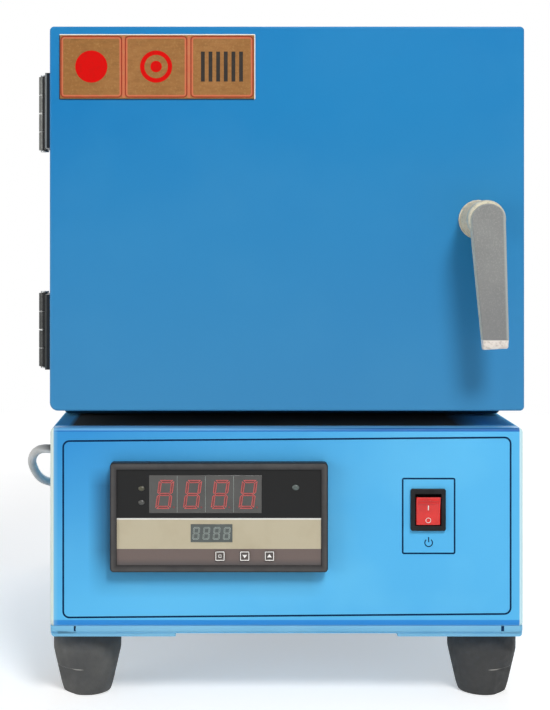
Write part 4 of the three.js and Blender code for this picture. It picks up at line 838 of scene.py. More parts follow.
# Power mark under the switch: an open ring with a bar through its gap, screened on the panel in
# the same dark blue.
ring_x, ring_z = 0.11365, 0.1171
ring_radius = 0.0032
mark_width = 0.0008
bar_rise = 0.0042
arc_steps = 20
open_angle = math.radians(38)
loop = []
there, back = range(arc_steps + 1), range(arc_steps, -1, -1)
for radius, steps in ((ring_radius, there), (ring_radius - mark_width, back)):
    for step in steps:
        angle = math.pi / 2 + open_angle + (math.tau - 2 * open_angle) * step / arc_steps
        loop.append((ring_x + math.cos(angle) * radius, ring_z + math.sin(angle) * radius))
bar = rounded(ring_x - mark_width / 2, ring_x + mark_width / 2, ring_z + mark_width / 2, ring_z + bar_rise,
              mark_width / 4, 2)
finished(merge_shapes([printed(loop, panel_face), printed(bar, panel_face)]),
         "printed_power_mark", "furnace", printed_dark)

# Control box, cover and rear panel: the cover is one bent sheet with cooling slots in its sides. Its
# roof is dull and dark where the furnace body stands over it.
dark_roof_start, dark_roof_end = -0.1525, 0.1370


# A copy of a CAD piece with its triangles merged, its sharp edges slightly broken and its curves
# smooth, which then takes the place of the plain solid
def worked(node, body, finish, edge, segments=2, crisp=38):
    shape = bmesh.new()
    shape.from_mesh(nodes[node].data)
    bmesh.ops.remove_doubles(shape, verts=shape.verts, dist=2e-6)
    bmesh.ops.dissolve_limit(shape, angle_limit=math.radians(0.6), verts=shape.verts, edges=shape.edges)
    if edge:
        round_off(shape, sharp_edges(shape, 50), edge, segments)
    return finished(shape, f"{node}_worked", body, finish, [node], crisp=crisp)


on_roof = light_blue.band("Z", panel_high.z - 0.003, panel_high.z - 0.002)
past_left = light_blue.band("X", dark_roof_start, dark_roof_start + 0.004)
past_right = light_blue.band("X", dark_roof_end + 0.02, dark_roof_end)
light_blue.tint(colour(74, 68, 54), past_left, past_right, on_roof, 0.97)
gloss = light_blue.shader.inputs["Roughness"]
dull_roof = light_blue.overlap(on_roof, 0.95)
light_blue.join(light_blue.sum("MAXIMUM", gloss.links[0].from_socket, dull_roof), gloss)
worked("base_cover", "furnace", light_blue, 0.0003)
worked("base_rear_panel", "furnace", light_blue, 0.0003)

# Cable gland in the left wall, in black plastic: a hex nut against the sheet and a dome that
# closes on the cord and holds it.
black_plastic = Finish("black_plastic", colour(21, 22, 24), 0.45, Specular_IOR_Level=0.22)
black_plastic.mottle(120, 3, 0.45, 0.75, colour(32, 33, 35))
black_plastic.rough(300, 3, 0.38, 0.55)
black_plastic.relief(2200, 2, 0.00005, 0.6)
worked("cable_gland", "furnace", black_plastic, 0.0004, 3)

# Screws: zinc-plated pan heads with a cross recess. They hold the cover's sides, the rear panel,
# the terminal cover and the body's rear plate.
screw_radius = 0.0029
screw_height = 0.0021
screw_recess = 0.5
screw_turn = 23


def screw_head(place, axis):
    shape = bmesh.new()
    rings = [(screw_radius, 0), (screw_radius, 0.3), (screw_radius * 0.9, 0.68), (screw_radius * 0.66, 1)]
    last = None
    for radius, share in rings:
        made = bmesh.ops.create_circle(shape, cap_ends=False, segments=16, radius=radius,
                                       matrix=Matrix.Translation((0, 0, screw_height * share)))
        loop_edges = [edge for edge in shape.edges if all(end in made["verts"] for end in edge.verts)]
        if last:
            bmesh.ops.bridge_loops(shape, edges=last + loop_edges)
        last = loop_edges
    arm, root = screw_radius * 0.48, screw_radius * 0.12
    corners = [(arm, -root), (arm, root), (root, root), (root, arm), (-root, arm), (-root, root),
               (-arm, root), (-arm, -root), (-root, -root), (-root, -arm), (root, -arm), (root, -root)]
    cross = [shape.verts.new((x, y, screw_height)) for x, y in corners]
    cross_edges = [shape.edges.new((a, b)) for a, b in zip(cross, cross[1:] + cross[:1])]
    bmesh.ops.bridge_loops(shape, edges=last + cross_edges)
    recess_floor = shape.faces.new(cross)
    drawn_out(shape, [recess_floor], (0, 0, -screw_height * screw_recess))
    bmesh.ops.delete(shape, geom=[recess_floor], context="FACES_ONLY")
    base = [edge for edge in shape.edges if edge.is_boundary]
    bmesh.ops.holes_fill(shape, edges=base, sides=0)
    bmesh.ops.recalc_face_normals(shape, faces=shape.faces)
    turn_axis, degrees = {"X": ("Y", 90), "-X": ("Y", -90), "Y": ("X", -90)}[axis]
    shape.transform(Matrix.Translation(Vector(place)) @ Matrix.Rotation(math.radians(degrees), 4, turn_axis)
                    @ Matrix.Rotation(math.radians(screw_turn), 4, "Z"))
    return shape


cover_low, cover_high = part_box("base_cover")
body_low, body_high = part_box("body_rear_plate")
guard_low, guard_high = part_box("terminal_cover")
rear_low, rear_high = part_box("base_rear_panel")
screw_inset = 0.011
side_screws = []
for along in (cover_low.y + screw_inset, (cover_low.y + cover_high.y) / 2, cover_high.y - screw_inset):
    for z in (cover_low.z + screw_inset, cover_high.z - 2 * screw_inset):
        side_screws.append(screw_head((cover_low.x, along, z), "-X"))
        side_screws.append(screw_head((cover_high.x, along, z), "X"))
finished(merge_shapes(side_screws), "cover_screws", "furnace", zinc_steel, crisp=30)
rear_screws = []
screwed_sheets = ((rear_low, rear_high, 3, screw_inset), (guard_low, guard_high, 2, screw_inset),
                  (body_low, body_high, 3, 2 * screw_inset))
for low, high, columns, inset in screwed_sheets:
    first, last = low.x + inset, high.x - inset
    for column in range(columns):
        for z in (low.z + inset, high.z - inset):
            x = first + (last - first) * column / (columns - 1)
            rear_screws.append(screw_head((x, high.y, z), "Y"))
finished(merge_shapes(rear_screws), "rear_screws", "furnace", zinc_steel, crisp=30)

# Furnace body: front plate with the mouth, a wrap for floor, sides and roof, a rear plate and the
# cover of the heater terminals, all in darker blue sheet.
door_paint = colour(26, 131, 191)
body_blue = powder_coat("body_coat", door_paint, colour(14, 122, 184), colour(42, 138, 194))
# Painted shade on the body's lower front, in the gap over the control box.
front_strip_start, front_strip_end = -0.120, -0.125
under_body = body_blue.band("Z", body_low.z + 0.006, body_low.z + 0.003)
front_only = body_blue.band("Y", front_strip_start, front_strip_end)
body_blue.tint(colour(8, 34, 44), under_body, front_only, 0.85)
for node in ("body_front_plate", "body_wrap", "body_bottom", "body_rear_plate", "terminal_cover"):
    worked(node, "furnace", body_blue, 0.0003)

# Door, outer pan: folded from the same darker blue sheet, with a wider fold at its lower left
# corner. Its paint is a little lighter towards the bottom.
door_low, door_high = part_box("door_pan")
door_corner = 0.0032
door_lower_left = 0.006
door_fold = 0.0016
door_grow = Vector((0.0006, 0, 0.0006))
door_blue = powder_coat("door_coat", door_paint, colour(12, 122, 186), colour(44, 138, 194))
paling_start = door_high.z - 0.06
paling = door_blue.band("Z", paling_start, door_low.z)
door_blue.tint(colour(78, 146, 190), paling, 0.5)
door_corners = [door_lower_left, door_corner, door_corner, door_corner]
door_pan = folded_pan(door_low, door_high + door_grow, door_corners, fold=door_fold)
finished(door_pan, "door_sheet", "door", door_blue, ["door_pan"], wall=sheet_wall)
worked("door_inner_plate", "door", body_blue, 0.0003)

# Insulation: the door's brick and the five blocks round the muffle are ceramic fibre board, and
# the seal round the brick's plug is a rope of the same fibre.
fibre_board = Finish("fibre_board", colour(232, 227, 214), 0.95)
fibre_board.mottle(35, 5, 0.45, 0.75, colour(214, 203, 180), 0.7)
fibre_board.relief(700, 5, 0.0004, 0.7, (1, 1, 4))
rope_fibre = Finish("rope_fibre", colour(226, 222, 212), 0.95)
rope_fibre.mottle(260, 3, 0.45, 0.7, colour(196, 190, 176))
rope_fibre.relief(420, 3, 0.0008)


def coated(node, finish):
    for place in nodes[node].material_slots:
        place.material = finish.material


worked("door_brick", "door", fibre_board, 0.0012, 3)
worked("door_seal", "door", rope_fibre, 0.0009, 3)
for side in ("bottom", "top", "left", "right", "rear"):
    coated(f"insulation_{side}", fibre_board)

# Muffle, heating plates and collar: pressed from pale refractory with a coarse grain, and browned
# in soft patches by the heat.
refractory = Finish("refractory", colour(222, 208, 182), 0.92)
refractory.mottle(30, 5, 0.45, 0.75, colour(196, 172, 138))
pores = refractory.spread(refractory.cells(420), 0.0, 0.22, 0.8, 0)
refractory.tint(colour(150, 126, 98), pores)
refractory.relief(600, 5, 0.0005, 0.8)
for node in ("muffle", "heating_plate_left", "heating_plate_right"):
    worked(node, "furnace", refractory, 0.0006)
worked("muffle_collar", "furnace", refractory, 0.0008)

# Heating coils of oxidised resistance wire in the plates' grooves, and the porcelain pieces at the
# rear: the thermocouple with its head and the two blocks with the heater's studs.
oxidised_wire = Finish("oxidised_wire", colour(96, 88, 80), 0.6, 0.5)
oxidised_wire.mottle(160, 4, 0.42, 0.7, colour(64, 58, 54))
oxidised_wire.relief(2600, 2, 0.00005)
for side in ("left", "right"):
    worked(f"heating_coil_{side}", "furnace", oxidised_wire, 0, crisp=80)
porcelain = Finish("porcelain", colour(232, 227, 216), 0.5)
porcelain.mottle(70, 4, 0.5, 0.8, colour(214, 206, 190))
porcelain.relief(900, 3, 0.00008)
worked("thermocouple", "furnace", porcelain, 0.0004)
for side in ("left", "right"):
    worked(f"heater_terminal_{side}", "furnace", porcelain, 0.0004)

# Hinges: two of steel, each with a leaf on the body and one on the door, packed out from the
# sheet, and four knuckles on a pin. The lower one is darker. Painted highlights lie on the knuckles'
# joints and the leaves' front edges, and painted shade in the groove beside the barrel and along
# the sheet.
hinge_steel = Finish("hinge_steel", colour(112, 113, 109), 0.5, 0.35)
hinge_steel.mottle(120, 4, 0.42, 0.72, colour(92, 93, 90))
leaf_face = -0.1721
packing_face = -0.1709
barrel_edge = -0.1757
groove_width = 0.0015
groove_soft = 0.0003
groove_end = barrel_edge - groove_width
upper_hinge_foot, lower_hinge_head = 0.38, 0.32
# Painted highlight on the leaves' front edges.
leaf_edge = hinge_steel.band("X", leaf_face, leaf_face + 0.0002)
hinge_steel.tint(colour(158, 160, 156), leaf_edge)
low_hinge = hinge_steel.band("Z", upper_hinge_foot, lower_hinge_head)
hinge_steel.tint(colour(46, 48, 46), low_hinge, 0.85)
# Painted shade where the leaves meet the sheet.
by_sheet = hinge_steel.band("X", packing_face - groove_soft, packing_face + groove_soft)
hinge_steel.tint(colour(4, 18, 28), by_sheet)
# Painted shade in the groove between the barrel and the leaf.
past_barrel = hinge_steel.band("X", groove_end - groove_soft, groove_end)
short_of_leaf = hinge_steel.band("X", barrel_edge + 0.0001, barrel_edge)
hinge_steel.tint(colour(20, 22, 24), past_barrel, short_of_leaf)
outside_groove = hinge_steel.band("X", groove_end, groove_end - groove_soft)
# Painted highlights at the joints between the knuckles.
knuckle_count = 4
joint_marks = ((1, 0.45, 0.0003), (2, 0.95, 0.0004), (3, 0.6, 0.0003))
for level_name in ("upper", "lower"):
    hinge_low, hinge_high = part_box(f"hinge_{level_name}_body_leaf")
    for place, strength, half in joint_marks:
        joint_z = hinge_low.z + (hinge_high.z - hinge_low.z) * place / knuckle_count
        from_joint = hinge_steel.away("Z", joint_z)
        joint_highlight = hinge_steel.spread(from_joint, half + 0.0002, half, 0, strength)
        hinge_steel.tint(colour(255, 255, 252), joint_highlight, outside_groove)
hinge_steel.rough(500, 3, 0.34, 0.55)
hinge_steel.relief(1500, 3, 0.00006, 0.8, (1, 1, 0.2))
for level_name in ("upper", "lower"):
    worked(f"hinge_{level_name}_body_leaf", "furnace", hinge_steel, 0.0004, 3)
    worked(f"hinge_{level_name}_door_leaf", "door", hinge_steel, 0.0004, 3)
    worked(f"hinge_pin_{level_name}", "furnace", zinc_steel, 0.0003)

# Hinge screws: three zinc-plated flat heads with a cross recess in each leaf, seated in its outer
# face.
leaf_reach = 0.03
barrel_to_face = 0.0083
leaf_screw_line = 0.0175
leaf_screw_spacing = 0.0185
flat_head_share = 0.2
for leaf, owner, sign in (("body", "furnace", 1), ("door", "door", -1)):
    heads = []
    for level_name in ("upper", "lower"):
        hinge_low, hinge_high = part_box(f"hinge_{level_name}_{leaf}_leaf")
        face_x = hinge_low.x + barrel_to_face
        axis_y = hinge_high.y - leaf_reach if sign > 0 else hinge_low.y + leaf_reach
        flatten = Matrix.Translation((face_x, 0, 0)) @ Matrix.Diagonal((flat_head_share, 1, 1, 1))
        for row in (-1, 0, 1):
            screw_z = (hinge_low.z + hinge_high.z) / 2 + row * leaf_screw_spacing
            heads.append(screw_head((0, axis_y + sign * leaf_screw_line, screw_z), "-X"))
            heads[-1].transform(flatten)
    finished(merge_shapes(heads), f"hinge_screws_{leaf}", owner, zinc_steel, crisp=30)

# Handle: cast in aluminium, grey in front, with a round hub and a tapering blade whose end is
# ground to a slant. Its sides and hub carry painted light in cream, and its right edge and slant
# painted highlights. It turns the latch behind the door.
cast_aluminium = Finish("cast_aluminium", colour(138, 139, 137), 0.55, 0.15)
cast_aluminium.mottle(40, 3, 0.4, 0.7, colour(126, 127, 126), 0.6)
cast_aluminium.mottle(900, 5, 0.5, 0.66, colour(160, 160, 155), 0.5)
pivot = Vector((0.14985, -0.2, 0.3542))
door_face = door_low.y
escutcheon_height = 0.0028
stand_off = 0.04
hub_radius = 0.0137
blade_radius = 0.0121
blade_head_drop = 0.001
blade_end_half = 0.0091
blade_length = 0.0923
blade_thick = 0.011
blade_end_thick = 0.008
blade_lean = 3.4
slant = 0.0068
blade_front = door_face - stand_off
blade_foot = pivot.z - blade_length
ground_top = blade_foot + slant

# Painted light: the sides behind the blade's front are cream, and the hub brighter still, both with grain.
behind_front = cast_aluminium.band("Y", blade_front + 0.0004, blade_front + 0.0011)
cast_aluminium.tint(colour(216, 209, 186), behind_front)
grain = cast_aluminium.spread(cast_aluminium.clouds(420, 5), 0.5, 0.7, 0, 0.6)
cast_aluminium.tint(colour(160, 153, 132), behind_front, grain)
past_blade = cast_aluminium.band("Y", blade_front + blade_thick, blade_front + blade_thick + 0.001, 0.9)
before_plate = cast_aluminium.band("Y", door_face - escutcheon_height, door_face - 0.0032)
on_hub = cast_aluminium.overlap(past_blade, before_plate)
cast_aluminium.tint(colour(248, 220, 176), on_hub)
cast_aluminium.tint(colour(158, 140, 108), on_hub, grain)
lower_face = cast_aluminium.band("Z", pivot.z - 0.02, blade_foot, 0.5)
not_behind = cast_aluminium.opposite(behind_front)
cast_aluminium.tint(colour(116, 116, 118), lower_face, not_behind)
# Painted highlight along the blade's right edge.
edge_slope = (blade_radius - blade_end_half) / blade_length - math.tan(math.radians(blade_lean))
shifted = cast_aluminium.sum("SUBTRACT", cast_aluminium.axis("X"),
                             cast_aluminium.sum("MULTIPLY", cast_aluminium.axis("Z"), edge_slope))
right_edge = pivot.x + blade_radius - pivot.z * edge_slope
on_right_edge = cast_aluminium.spread(shifted, right_edge - 0.0024, right_edge - 0.001, 0, 0.6)
cast_aluminium.tint(colour(188, 194, 190), on_right_edge)
# Painted highlight on the slant at the blade's end, with darker spots in it.
at_end = cast_aluminium.band("Z", ground_top + 0.0004, ground_top - 0.0004)
cast_aluminium.tint(colour(250, 240, 230), at_end)
highlight_spots = cast_aluminium.spread(cast_aluminium.clouds(420, 4), 0.45, 0.65, 0, 0.6)
cast_aluminium.tint(colour(196, 180, 168), at_end, highlight_spots)
cast_aluminium.rough(400, 3, 0.45, 0.65)
cast_aluminium.relief(1300, 4, 0.0002, 0.8)

blade_outline = []
for step in range(33):
    angle = math.pi * step / 32
    blade_outline.append((math.cos(angle) * blade_radius, math.sin(angle) * blade_radius - blade_head_drop))
blade_outline += [(-blade_end_half, -blade_length), (blade_end_half, -blade_length)]
blade = bmesh.new()
front = blade.faces.new([blade.verts.new((x, -stand_off, z)) for x, z in blade_outline])
blade.normal_update()
if front.normal.y > 0:
    bmesh.ops.reverse_faces(blade, faces=[front])
drawn_out(blade, [front], (0, blade_thick, 0))
bmesh.ops.recalc_face_normals(blade, faces=blade.faces)
for vert in blade.verts:
    if vert.co.y > -stand_off + blade_thick / 2 and vert.co.z < 0:
        vert.co.y -= (blade_thick - blade_end_thick) * -vert.co.z / blade_length
split_at(blade, (0, -stand_off, -blade_length + slant), Vector((0, -2, -1)).normalized(), clear_outer=True)
bmesh.ops.holes_fill(blade, edges=[edge for edge in blade.edges if edge.is_boundary], sides=0)
bmesh.ops.recalc_face_normals(blade, faces=blade.faces)
round_off(blade, sharp_edges(blade, 25), 0.0012, 3)
hub_profile = [(0, 0), (hub_radius - 0.0008, 0), (hub_radius, 0.0008), (hub_radius, 0.0295),
               (hub_radius - 0.0004, 0.0308), (hub_radius - 0.0014, 0.0318), (0, 0.0335)]
hub = turned(hub_profile, 64, (0, -escutcheon_height, 0), "-Y")
lever = merge_shapes([blade, hub])
lever.transform(Matrix.Translation((pivot.x, door_face, pivot.z))
                @ Matrix.Rotation(math.radians(-blade_lean), 4, "Y"))
finished(lever, "handle_casting", "handle", cast_aluminium, ["handle_lever"], crisp=30)
worked("handle_escutcheon", "door", cast_aluminium, 0.0004, 3)
worked("latch_spindle", "handle", zinc_steel, 0.0004)
worked("latch_tongue", "handle", zinc_steel, 0.0005)

# Plate on the door: thin brushed copper-coloured metal, glued on near the upper left corner, with
# painted shade on its left and lower edges and painted highlights on its upper and right edges. It
# has three squares printed in red, which hold plain marks.
plate_low = Vector((-0.15745, door_face - 0.0007, 0.4424))
plate_high = Vector((-0.01355, door_face - 0.0001, 0.4903))
painted_edge_width = 0.0008
plate_corner = 0.0008
plate_edge = 0.0002
plate = block(plate_low, plate_high)
round_off(plate, edges_along(plate, 1), plate_corner, 3)
round_off(plate, front_edges(plate, plate_low.y, 50), plate_edge, 2)
copper = Finish("brushed_copper", colour(150, 102, 50), 0.5, 0.1, Specular_IOR_Level=0.3)
copper.mottle(26, 3, 0.4, 0.7, colour(163, 114, 64), 0.7)
copper.mottle(420, 3, 0.42, 0.7, colour(130, 88, 42), 0.55, (0.3, 1, 1))
copper.mottle(800, 4, 0.52, 0.75, colour(178, 134, 80), 0.5)
copper.relief(1300, 3, 0.00005, 0.8, (0.3, 1, 1))
# Painted shade on the left and lower edges, painted highlights on the upper and right edges.
painted_edges = (
    ("X", plate_low.x, painted_edge_width, colour(34, 44, 52)),
    ("Z", plate_low.z, painted_edge_width, colour(30, 40, 46)),
    ("Z", plate_high.z, -painted_edge_width, colour(244, 240, 232)),
    ("X", plate_high.x, -painted_edge_width, colour(240, 240, 236)),
)
for axis, edge_place, inwards, tone in painted_edges:
    painted_edge = copper.band(axis, edge_place + inwards, edge_place + inwards * 0.7)
    copper.tint(tone, painted_edge)
finished(plate, "door_plate", "door", copper)
printed_red = Finish("printed_red", colour(216, 4, 0), 0.55, Specular_IOR_Level=0.12)
printed_red.mottle(300, 4, 0.5, 0.8, colour(190, 22, 8), 0.5)
printed_rust = Finish("printed_rust", colour(142, 44, 16), 0.5, Specular_IOR_Level=0.3)
printed_rust.mottle(260, 4, 0.5, 0.8, colour(168, 66, 32), 0.6)
printed_salmon = Finish("printed_salmon", colour(202, 108, 72), 0.5, Specular_IOR_Level=0.3)
printed_salmon.mottle(200, 4, 0.45, 0.75, colour(192, 126, 82), 0.7)
square_edges = [(-0.15655, -0.1112), (-0.1093, -0.0634), (-0.0612, -0.0149)]
square_low, square_high = 0.4437, 0.489
square_corner = 0.003
border_corner = 0.0022
plate_face = plate_low.y - print_gap / 2
line_width = 0.00085
border_width = 0.0012
rust_lines = []
salmon_lines = []
for x0, x1 in square_edges:
    square = rounded(x0, x1, square_low, square_high, square_corner)
    border = rounded(x0 + line_width, x1 - line_width, square_low + line_width, square_high - line_width,
                     border_corner)
    rust_lines.append(printed(square, plate_face, line_width))
    salmon_lines.append(printed(border, plate_face, border_width, ink / 2))
for (_, x0), (x1, _) in zip(square_edges, square_edges[1:]):
    between = rectangle(x0, x1, square_low, square_high)
    salmon_lines.append(printed(between, plate_face, 0, ink / 2))
finished(merge_shapes(rust_lines), "plate_square_lines", "door", printed_rust)
finished(merge_shapes(salmon_lines), "plate_square_borders", "door", printed_salmon)

# Marks on the plate: a disc in the first square, a ring round a dot in the second, both in red, and
# a row of upright bars in black in the third.
mark_level = 0.4665
disc_radius = 0.0118
disc_ring_width = 0.0032
dot_radius = 0.0042
bar_count = 6
bar_pitch = 0.0056
bar_half_width = 0.0014
bar_half_height = 0.011


def ring_outline(x, z, radius, steps=40):
    turns = [math.tau * step / steps for step in range(steps)]
    return [(x + math.cos(turn) * radius, z + math.sin(turn) * radius) for turn in turns]


first_x, second_x, third_x = [(x0 + x1) / 2 for x0, x1 in square_edges]
reds = [
    printed(ring_outline(first_x, mark_level, disc_radius), plate_face),
    printed(ring_outline(second_x, mark_level, disc_radius), plate_face, disc_ring_width),
    printed(ring_outline(second_x, mark_level, dot_radius), plate_face),
]
finished(merge_shapes(reds), "plate_red_print", "door", printed_red)
printed_black = Finish("printed_black", colour(34, 28, 22), 0.5, Specular_IOR_Level=0.3)
printed_black.mottle(260, 4, 0.5, 0.8, colour(62, 50, 36), 0.5)
bars = []
for place in range(bar_count):
    x = third_x + (place - (bar_count - 1) / 2) * bar_pitch
    upright = rectangle(x - bar_half_width, x + bar_half_width, mark_level - bar_half_height,
                        mark_level + bar_half_height)
    bars.append(printed(upright, plate_face))
finished(merge_shapes(bars), "plate_dark_print", "door", printed_black)

# Temperature controller, bezel: moulded in dark grey plastic, with a rim that stands proud of the
# panel and a recess for its face. Painted shade darkens its outer edge to near black.
dark_plastic = Finish("dark_plastic", colour(78, 76, 75), 0.5, Specular_IOR_Level=0.3)
dark_plastic.mottle(90, 3, 0.45, 0.75, colour(66, 64, 64))
# Painted shade: all of the bezel behind its front face is darkened to near black.
on_edge = dark_plastic.band("Y", bezel_low.y + 0.00004, bezel_low.y + 0.0002, 0.9)
dark_plastic.tint(colour(14, 14, 16), on_edge)
dark_plastic.rough(400, 3, 0.42, 0.6)
dark_plastic.relief(2400, 2, 0.00006, 0.7)
face_low, face_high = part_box("controller_faceplate")
bezel_corner = 0.0026
bezel_edge = 0.0014
recess_depth = 0.0016
recess_corner = 0.0006
inner_bevel = 0.0003
rim_fall = 0.00015


# A bmesh bridged from ring to ring, each ring an outline at its own depth, closed at both ends
def lofted(rings):
    shape = bmesh.new()
    last = None
    ends = []
    for outline, depth in rings:
        verts = [shape.verts.new((x, depth, z)) for x, z in outline]
        lines = [shape.edges.new(pair) for pair in zip(verts, verts[1:] + verts[:1])]
        if last:
            bmesh.ops.bridge_loops(shape, edges=last + lines)
        ends.append(verts)
        last = lines
    for verts in (ends[0], ends[-1]):
        shape.faces.new(verts)
    bmesh.ops.recalc_face_normals(shape, faces=shape.faces)
    return shape


# Outlines that shrink round a quarter bend: from the wall, where the bend starts, to the face
def bend_rings(x0, x1, z0, z1, corner, face_y, radius, steps=4):
    rings = []
    for step in range(steps + 1):
        angle = math.radians(90) * step / steps
        inset = radius * (1 - math.cos(angle))
        outline = rounded(x0 + inset, x1 - inset, z0 + inset, z1 - inset, max(corner - inset, 0.0002))
        rings.append((outline, face_y + radius * (1 - math.sin(angle))))
    return rings


outer = (bezel_low.x, bezel_high.x, bezel_low.z, bezel_high.z)
mouth = rounded(face_low.x - inner_bevel, face_high.x + inner_bevel, face_low.z - inner_bevel,
                face_high.z + inner_bevel, recess_corner)
well = rounded(face_low.x, face_high.x, face_low.z, face_high.z, recess_corner)
rings = [(rounded(*outer, bezel_corner), bezel_high.y)]
rings += bend_rings(*outer, bezel_corner, bezel_low.y, bezel_edge)
rings += [(mouth, bezel_low.y + rim_fall), (well, bezel_low.y + rim_fall + inner_bevel),
          (well, bezel_low.y + recess_depth)]
finished(lofted(rings), "bezel_moulding", "furnace", dark_plastic,
         ["controller_bezel"], crisp=30)

# Temperature controller, face: one printed film. A black band with the red digits, a white line,
# a cream band with the small digits and a brown band with the keys, which is greyer at its foot.
film = Finish("printed_film", colour(24, 24, 24), 0.42, Specular_IOR_Level=0.25)
height_on_face = film.axis("Z")
line_top = 0.1368
line_bottom = 0.1357
cream_bottom = 0.1144
grey_top = 0.1052
print_soft = 0.00008
grey_soft = 0.002
film_corner = 0.0005


def below(level_z, reach=print_soft):
    return film.opposite(film.spread(height_on_face, level_z - reach, level_z + reach))


film.tint(colour(236, 234, 228), below(line_top))
film.tint(colour(200, 189, 162), below(line_bottom))
stain = film.spread(film.clouds(38, 4), 0.48, 0.75, 0, 0.55)
film.tint(colour(184, 170, 140), stain, below(line_bottom))
film.tint(colour(118, 104, 99), below(cream_bottom))
film.tint(colour(96, 91, 90), below(grey_top, grey_soft))
film.relief(1600, 2, 0.00002, 0.5)
face_plate = block(face_low, face_high)
round_off(face_plate, edges_along(face_plate, 1), film_corner, 2)
finished(face_plate, "face_film", "furnace", film, ["controller_faceplate"])

# Temperature controller, displays: two smoked windows that stand slightly proud of the film. The
# upper one is brownish, the lower one greenish.
smoked = Finish("smoked_window", colour(78, 77, 74), 0.22, Coat_Weight=0.3, Coat_Roughness=0.08)
smoked.mottle(60, 3, 0.4, 0.7, colour(70, 69, 67))
smoked_low = Finish("smoked_lower_window", colour(82, 89, 86), 0.25, Coat_Weight=0.3, Coat_Roughness=0.08)
smoked_low.mottle(80, 3, 0.4, 0.7, colour(74, 80, 78))
window_proud = 0.0004
window_edge = 0.0002
window_face_y = face_low.y - window_proud
digit_face_y = window_face_y - print_gap / 2
for level_name, finish in (("upper", smoked), ("lower", smoked_low)):
    low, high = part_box(f"display_{level_name}")
    window = block((low.x, window_face_y, low.z), high)
    round_off(window, front_edges(window, window_face_y, 60), window_edge, 2)
    finished(window, f"display_{level_name}_window", "furnace", finish,
             [f"display_{level_name}"])

# Digits: four seven-bar figures in each display, none of them lit. A bar of the upper row is a red
# line round a dull red filling, a bar of the lower row is a pale line.
bar_red = Finish("digit_red", colour(218, 98, 94), 0.4)
bar_red.mottle(500, 3, 0.4, 0.7, colour(202, 88, 86))
bar_inner = Finish("digit_inner", colour(122, 62, 60), 0.4)
bar_inner.mottle(500, 3, 0.4, 0.7, colour(110, 56, 55))
bar_grey = Finish("digit_grey", colour(158, 168, 162), 0.45)
bar_grey.mottle(500, 3, 0.4, 0.7, colour(138, 148, 142))
digits_in_row = 4
upper_line_width = 0.00042
lower_line_width = 0.00034


# The seven bars of one digit, as outlines about its centre, leaning to the right
def digit_bars(width, height, thick, lean):
    half_w, half_h, half_t = width / 2, height / 2, thick / 2
    gap = thick * 0.16
    corner = half_t * 0.6
    x0, x1 = -half_w + half_t + gap, half_w - half_t - gap
    bars_of_digit = [[(x0, 0), (x0 + half_t, half_t), (x1 - half_t, half_t), (x1, 0),
                      (x1 - half_t, -half_t), (x0 + half_t, -half_t)]]
    for up in (1, -1):
        bars_of_digit.append([(x0 - corner, up * half_h), (x1 + corner, up * half_h),
                              (x1 - half_t, up * (half_h - thick)), (x0 + half_t, up * (half_h - thick))])
        end = half_h - half_t - gap
        for out in (1, -1):
            outer_x, middle_x, inner_x = out * half_w, out * (half_w - half_t), out * (half_w - thick)
            bars_of_digit.append([
                (middle_x, up * gap), (outer_x, up * (gap + half_t)), (outer_x, up * (end + corner)),
                (inner_x, up * (end - half_t)), (inner_x, up * (gap + half_t)),
            ])
    return [[(x + z * lean, z) for x, z in outline] for outline in bars_of_digit]


# Outlines of a whole row: the bars alone, and the bars with a point after each digit
def digit_row(centre_x, centre_z, pitch, width, height, thick, lean):
    bars_alone, with_points = [], []
    for place in range(digits_in_row):
        x = centre_x + (place - (digits_in_row - 1) / 2) * pitch
        moved = [[(x + dx, centre_z + dz) for dx, dz in outline]
                 for outline in digit_bars(width, height, thick, lean)]
        point_x = x + width / 2 + thick * 1.1 - height / 2 * lean
        point = ring_outline(point_x, centre_z - height / 2 + thick / 2, thick * 0.36, 16)
        bars_alone += moved
        with_points += moved + [point]
    return bars_alone, with_points


upper_bars, upper_filled = digit_row(centre_x=-0.0494, centre_z=0.15415, pitch=0.0202, width=0.0111,
                                     height=0.0209, thick=0.0021, lean=0.135)
upper_lines = [printed(outline, digit_face_y, upper_line_width) for outline in upper_bars]
upper_fills = [printed(outline, digit_face_y, 0, ink / 2) for outline in upper_filled]
finished(merge_shapes(upper_lines), "upper_digit_lines", "furnace", bar_red)
finished(merge_shapes(upper_fills), "upper_digit_bars", "furnace", bar_inner)
lower_bars = digit_row(centre_x=-0.0457, centre_z=0.1258, pitch=0.00745, width=0.0049,
                       height=0.0092, thick=0.0011, lean=0.1)[0]
lower_lines = [printed(outline, digit_face_y, lower_line_width) for outline in lower_bars]
finished(merge_shapes(lower_lines), "lower_digit_lines", "furnace", bar_grey)
divider_half_width = 0.00012
divider_margin = 0.0006
upper_low, upper_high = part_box("display_upper")
dividers = []
for place in range(1, digits_in_row):
    x = upper_low.x + (upper_high.x - upper_low.x) * place / digits_in_row
    upright = rectangle(x - divider_half_width, x + divider_half_width, upper_low.z + divider_margin,
                        upper_high.z - divider_margin)
    dividers.append(printed(upright, digit_face_y, 0, ink / 2))
finished(merge_shapes(dividers), "display_dividers", "furnace", bar_grey)

# Temperature controller, lamps: three small lens caps set in the film, two at the left of the upper
# display and one at its right, none lit.
lens_height = 0.0009
lens_flattening = 0.8
lenses = {
    "olive": ((-0.0967, 0.1583), 0.0023, colour(72, 70, 48)),
    "grey": ((-0.0967, 0.1482), 0.0023, colour(72, 72, 68)),
    "teal": ((0.01565, 0.1591), 0.0026, colour(82, 94, 90)),
}


def shade(base, share):
    return tuple(part * share for part in base[:3]) + (1,)


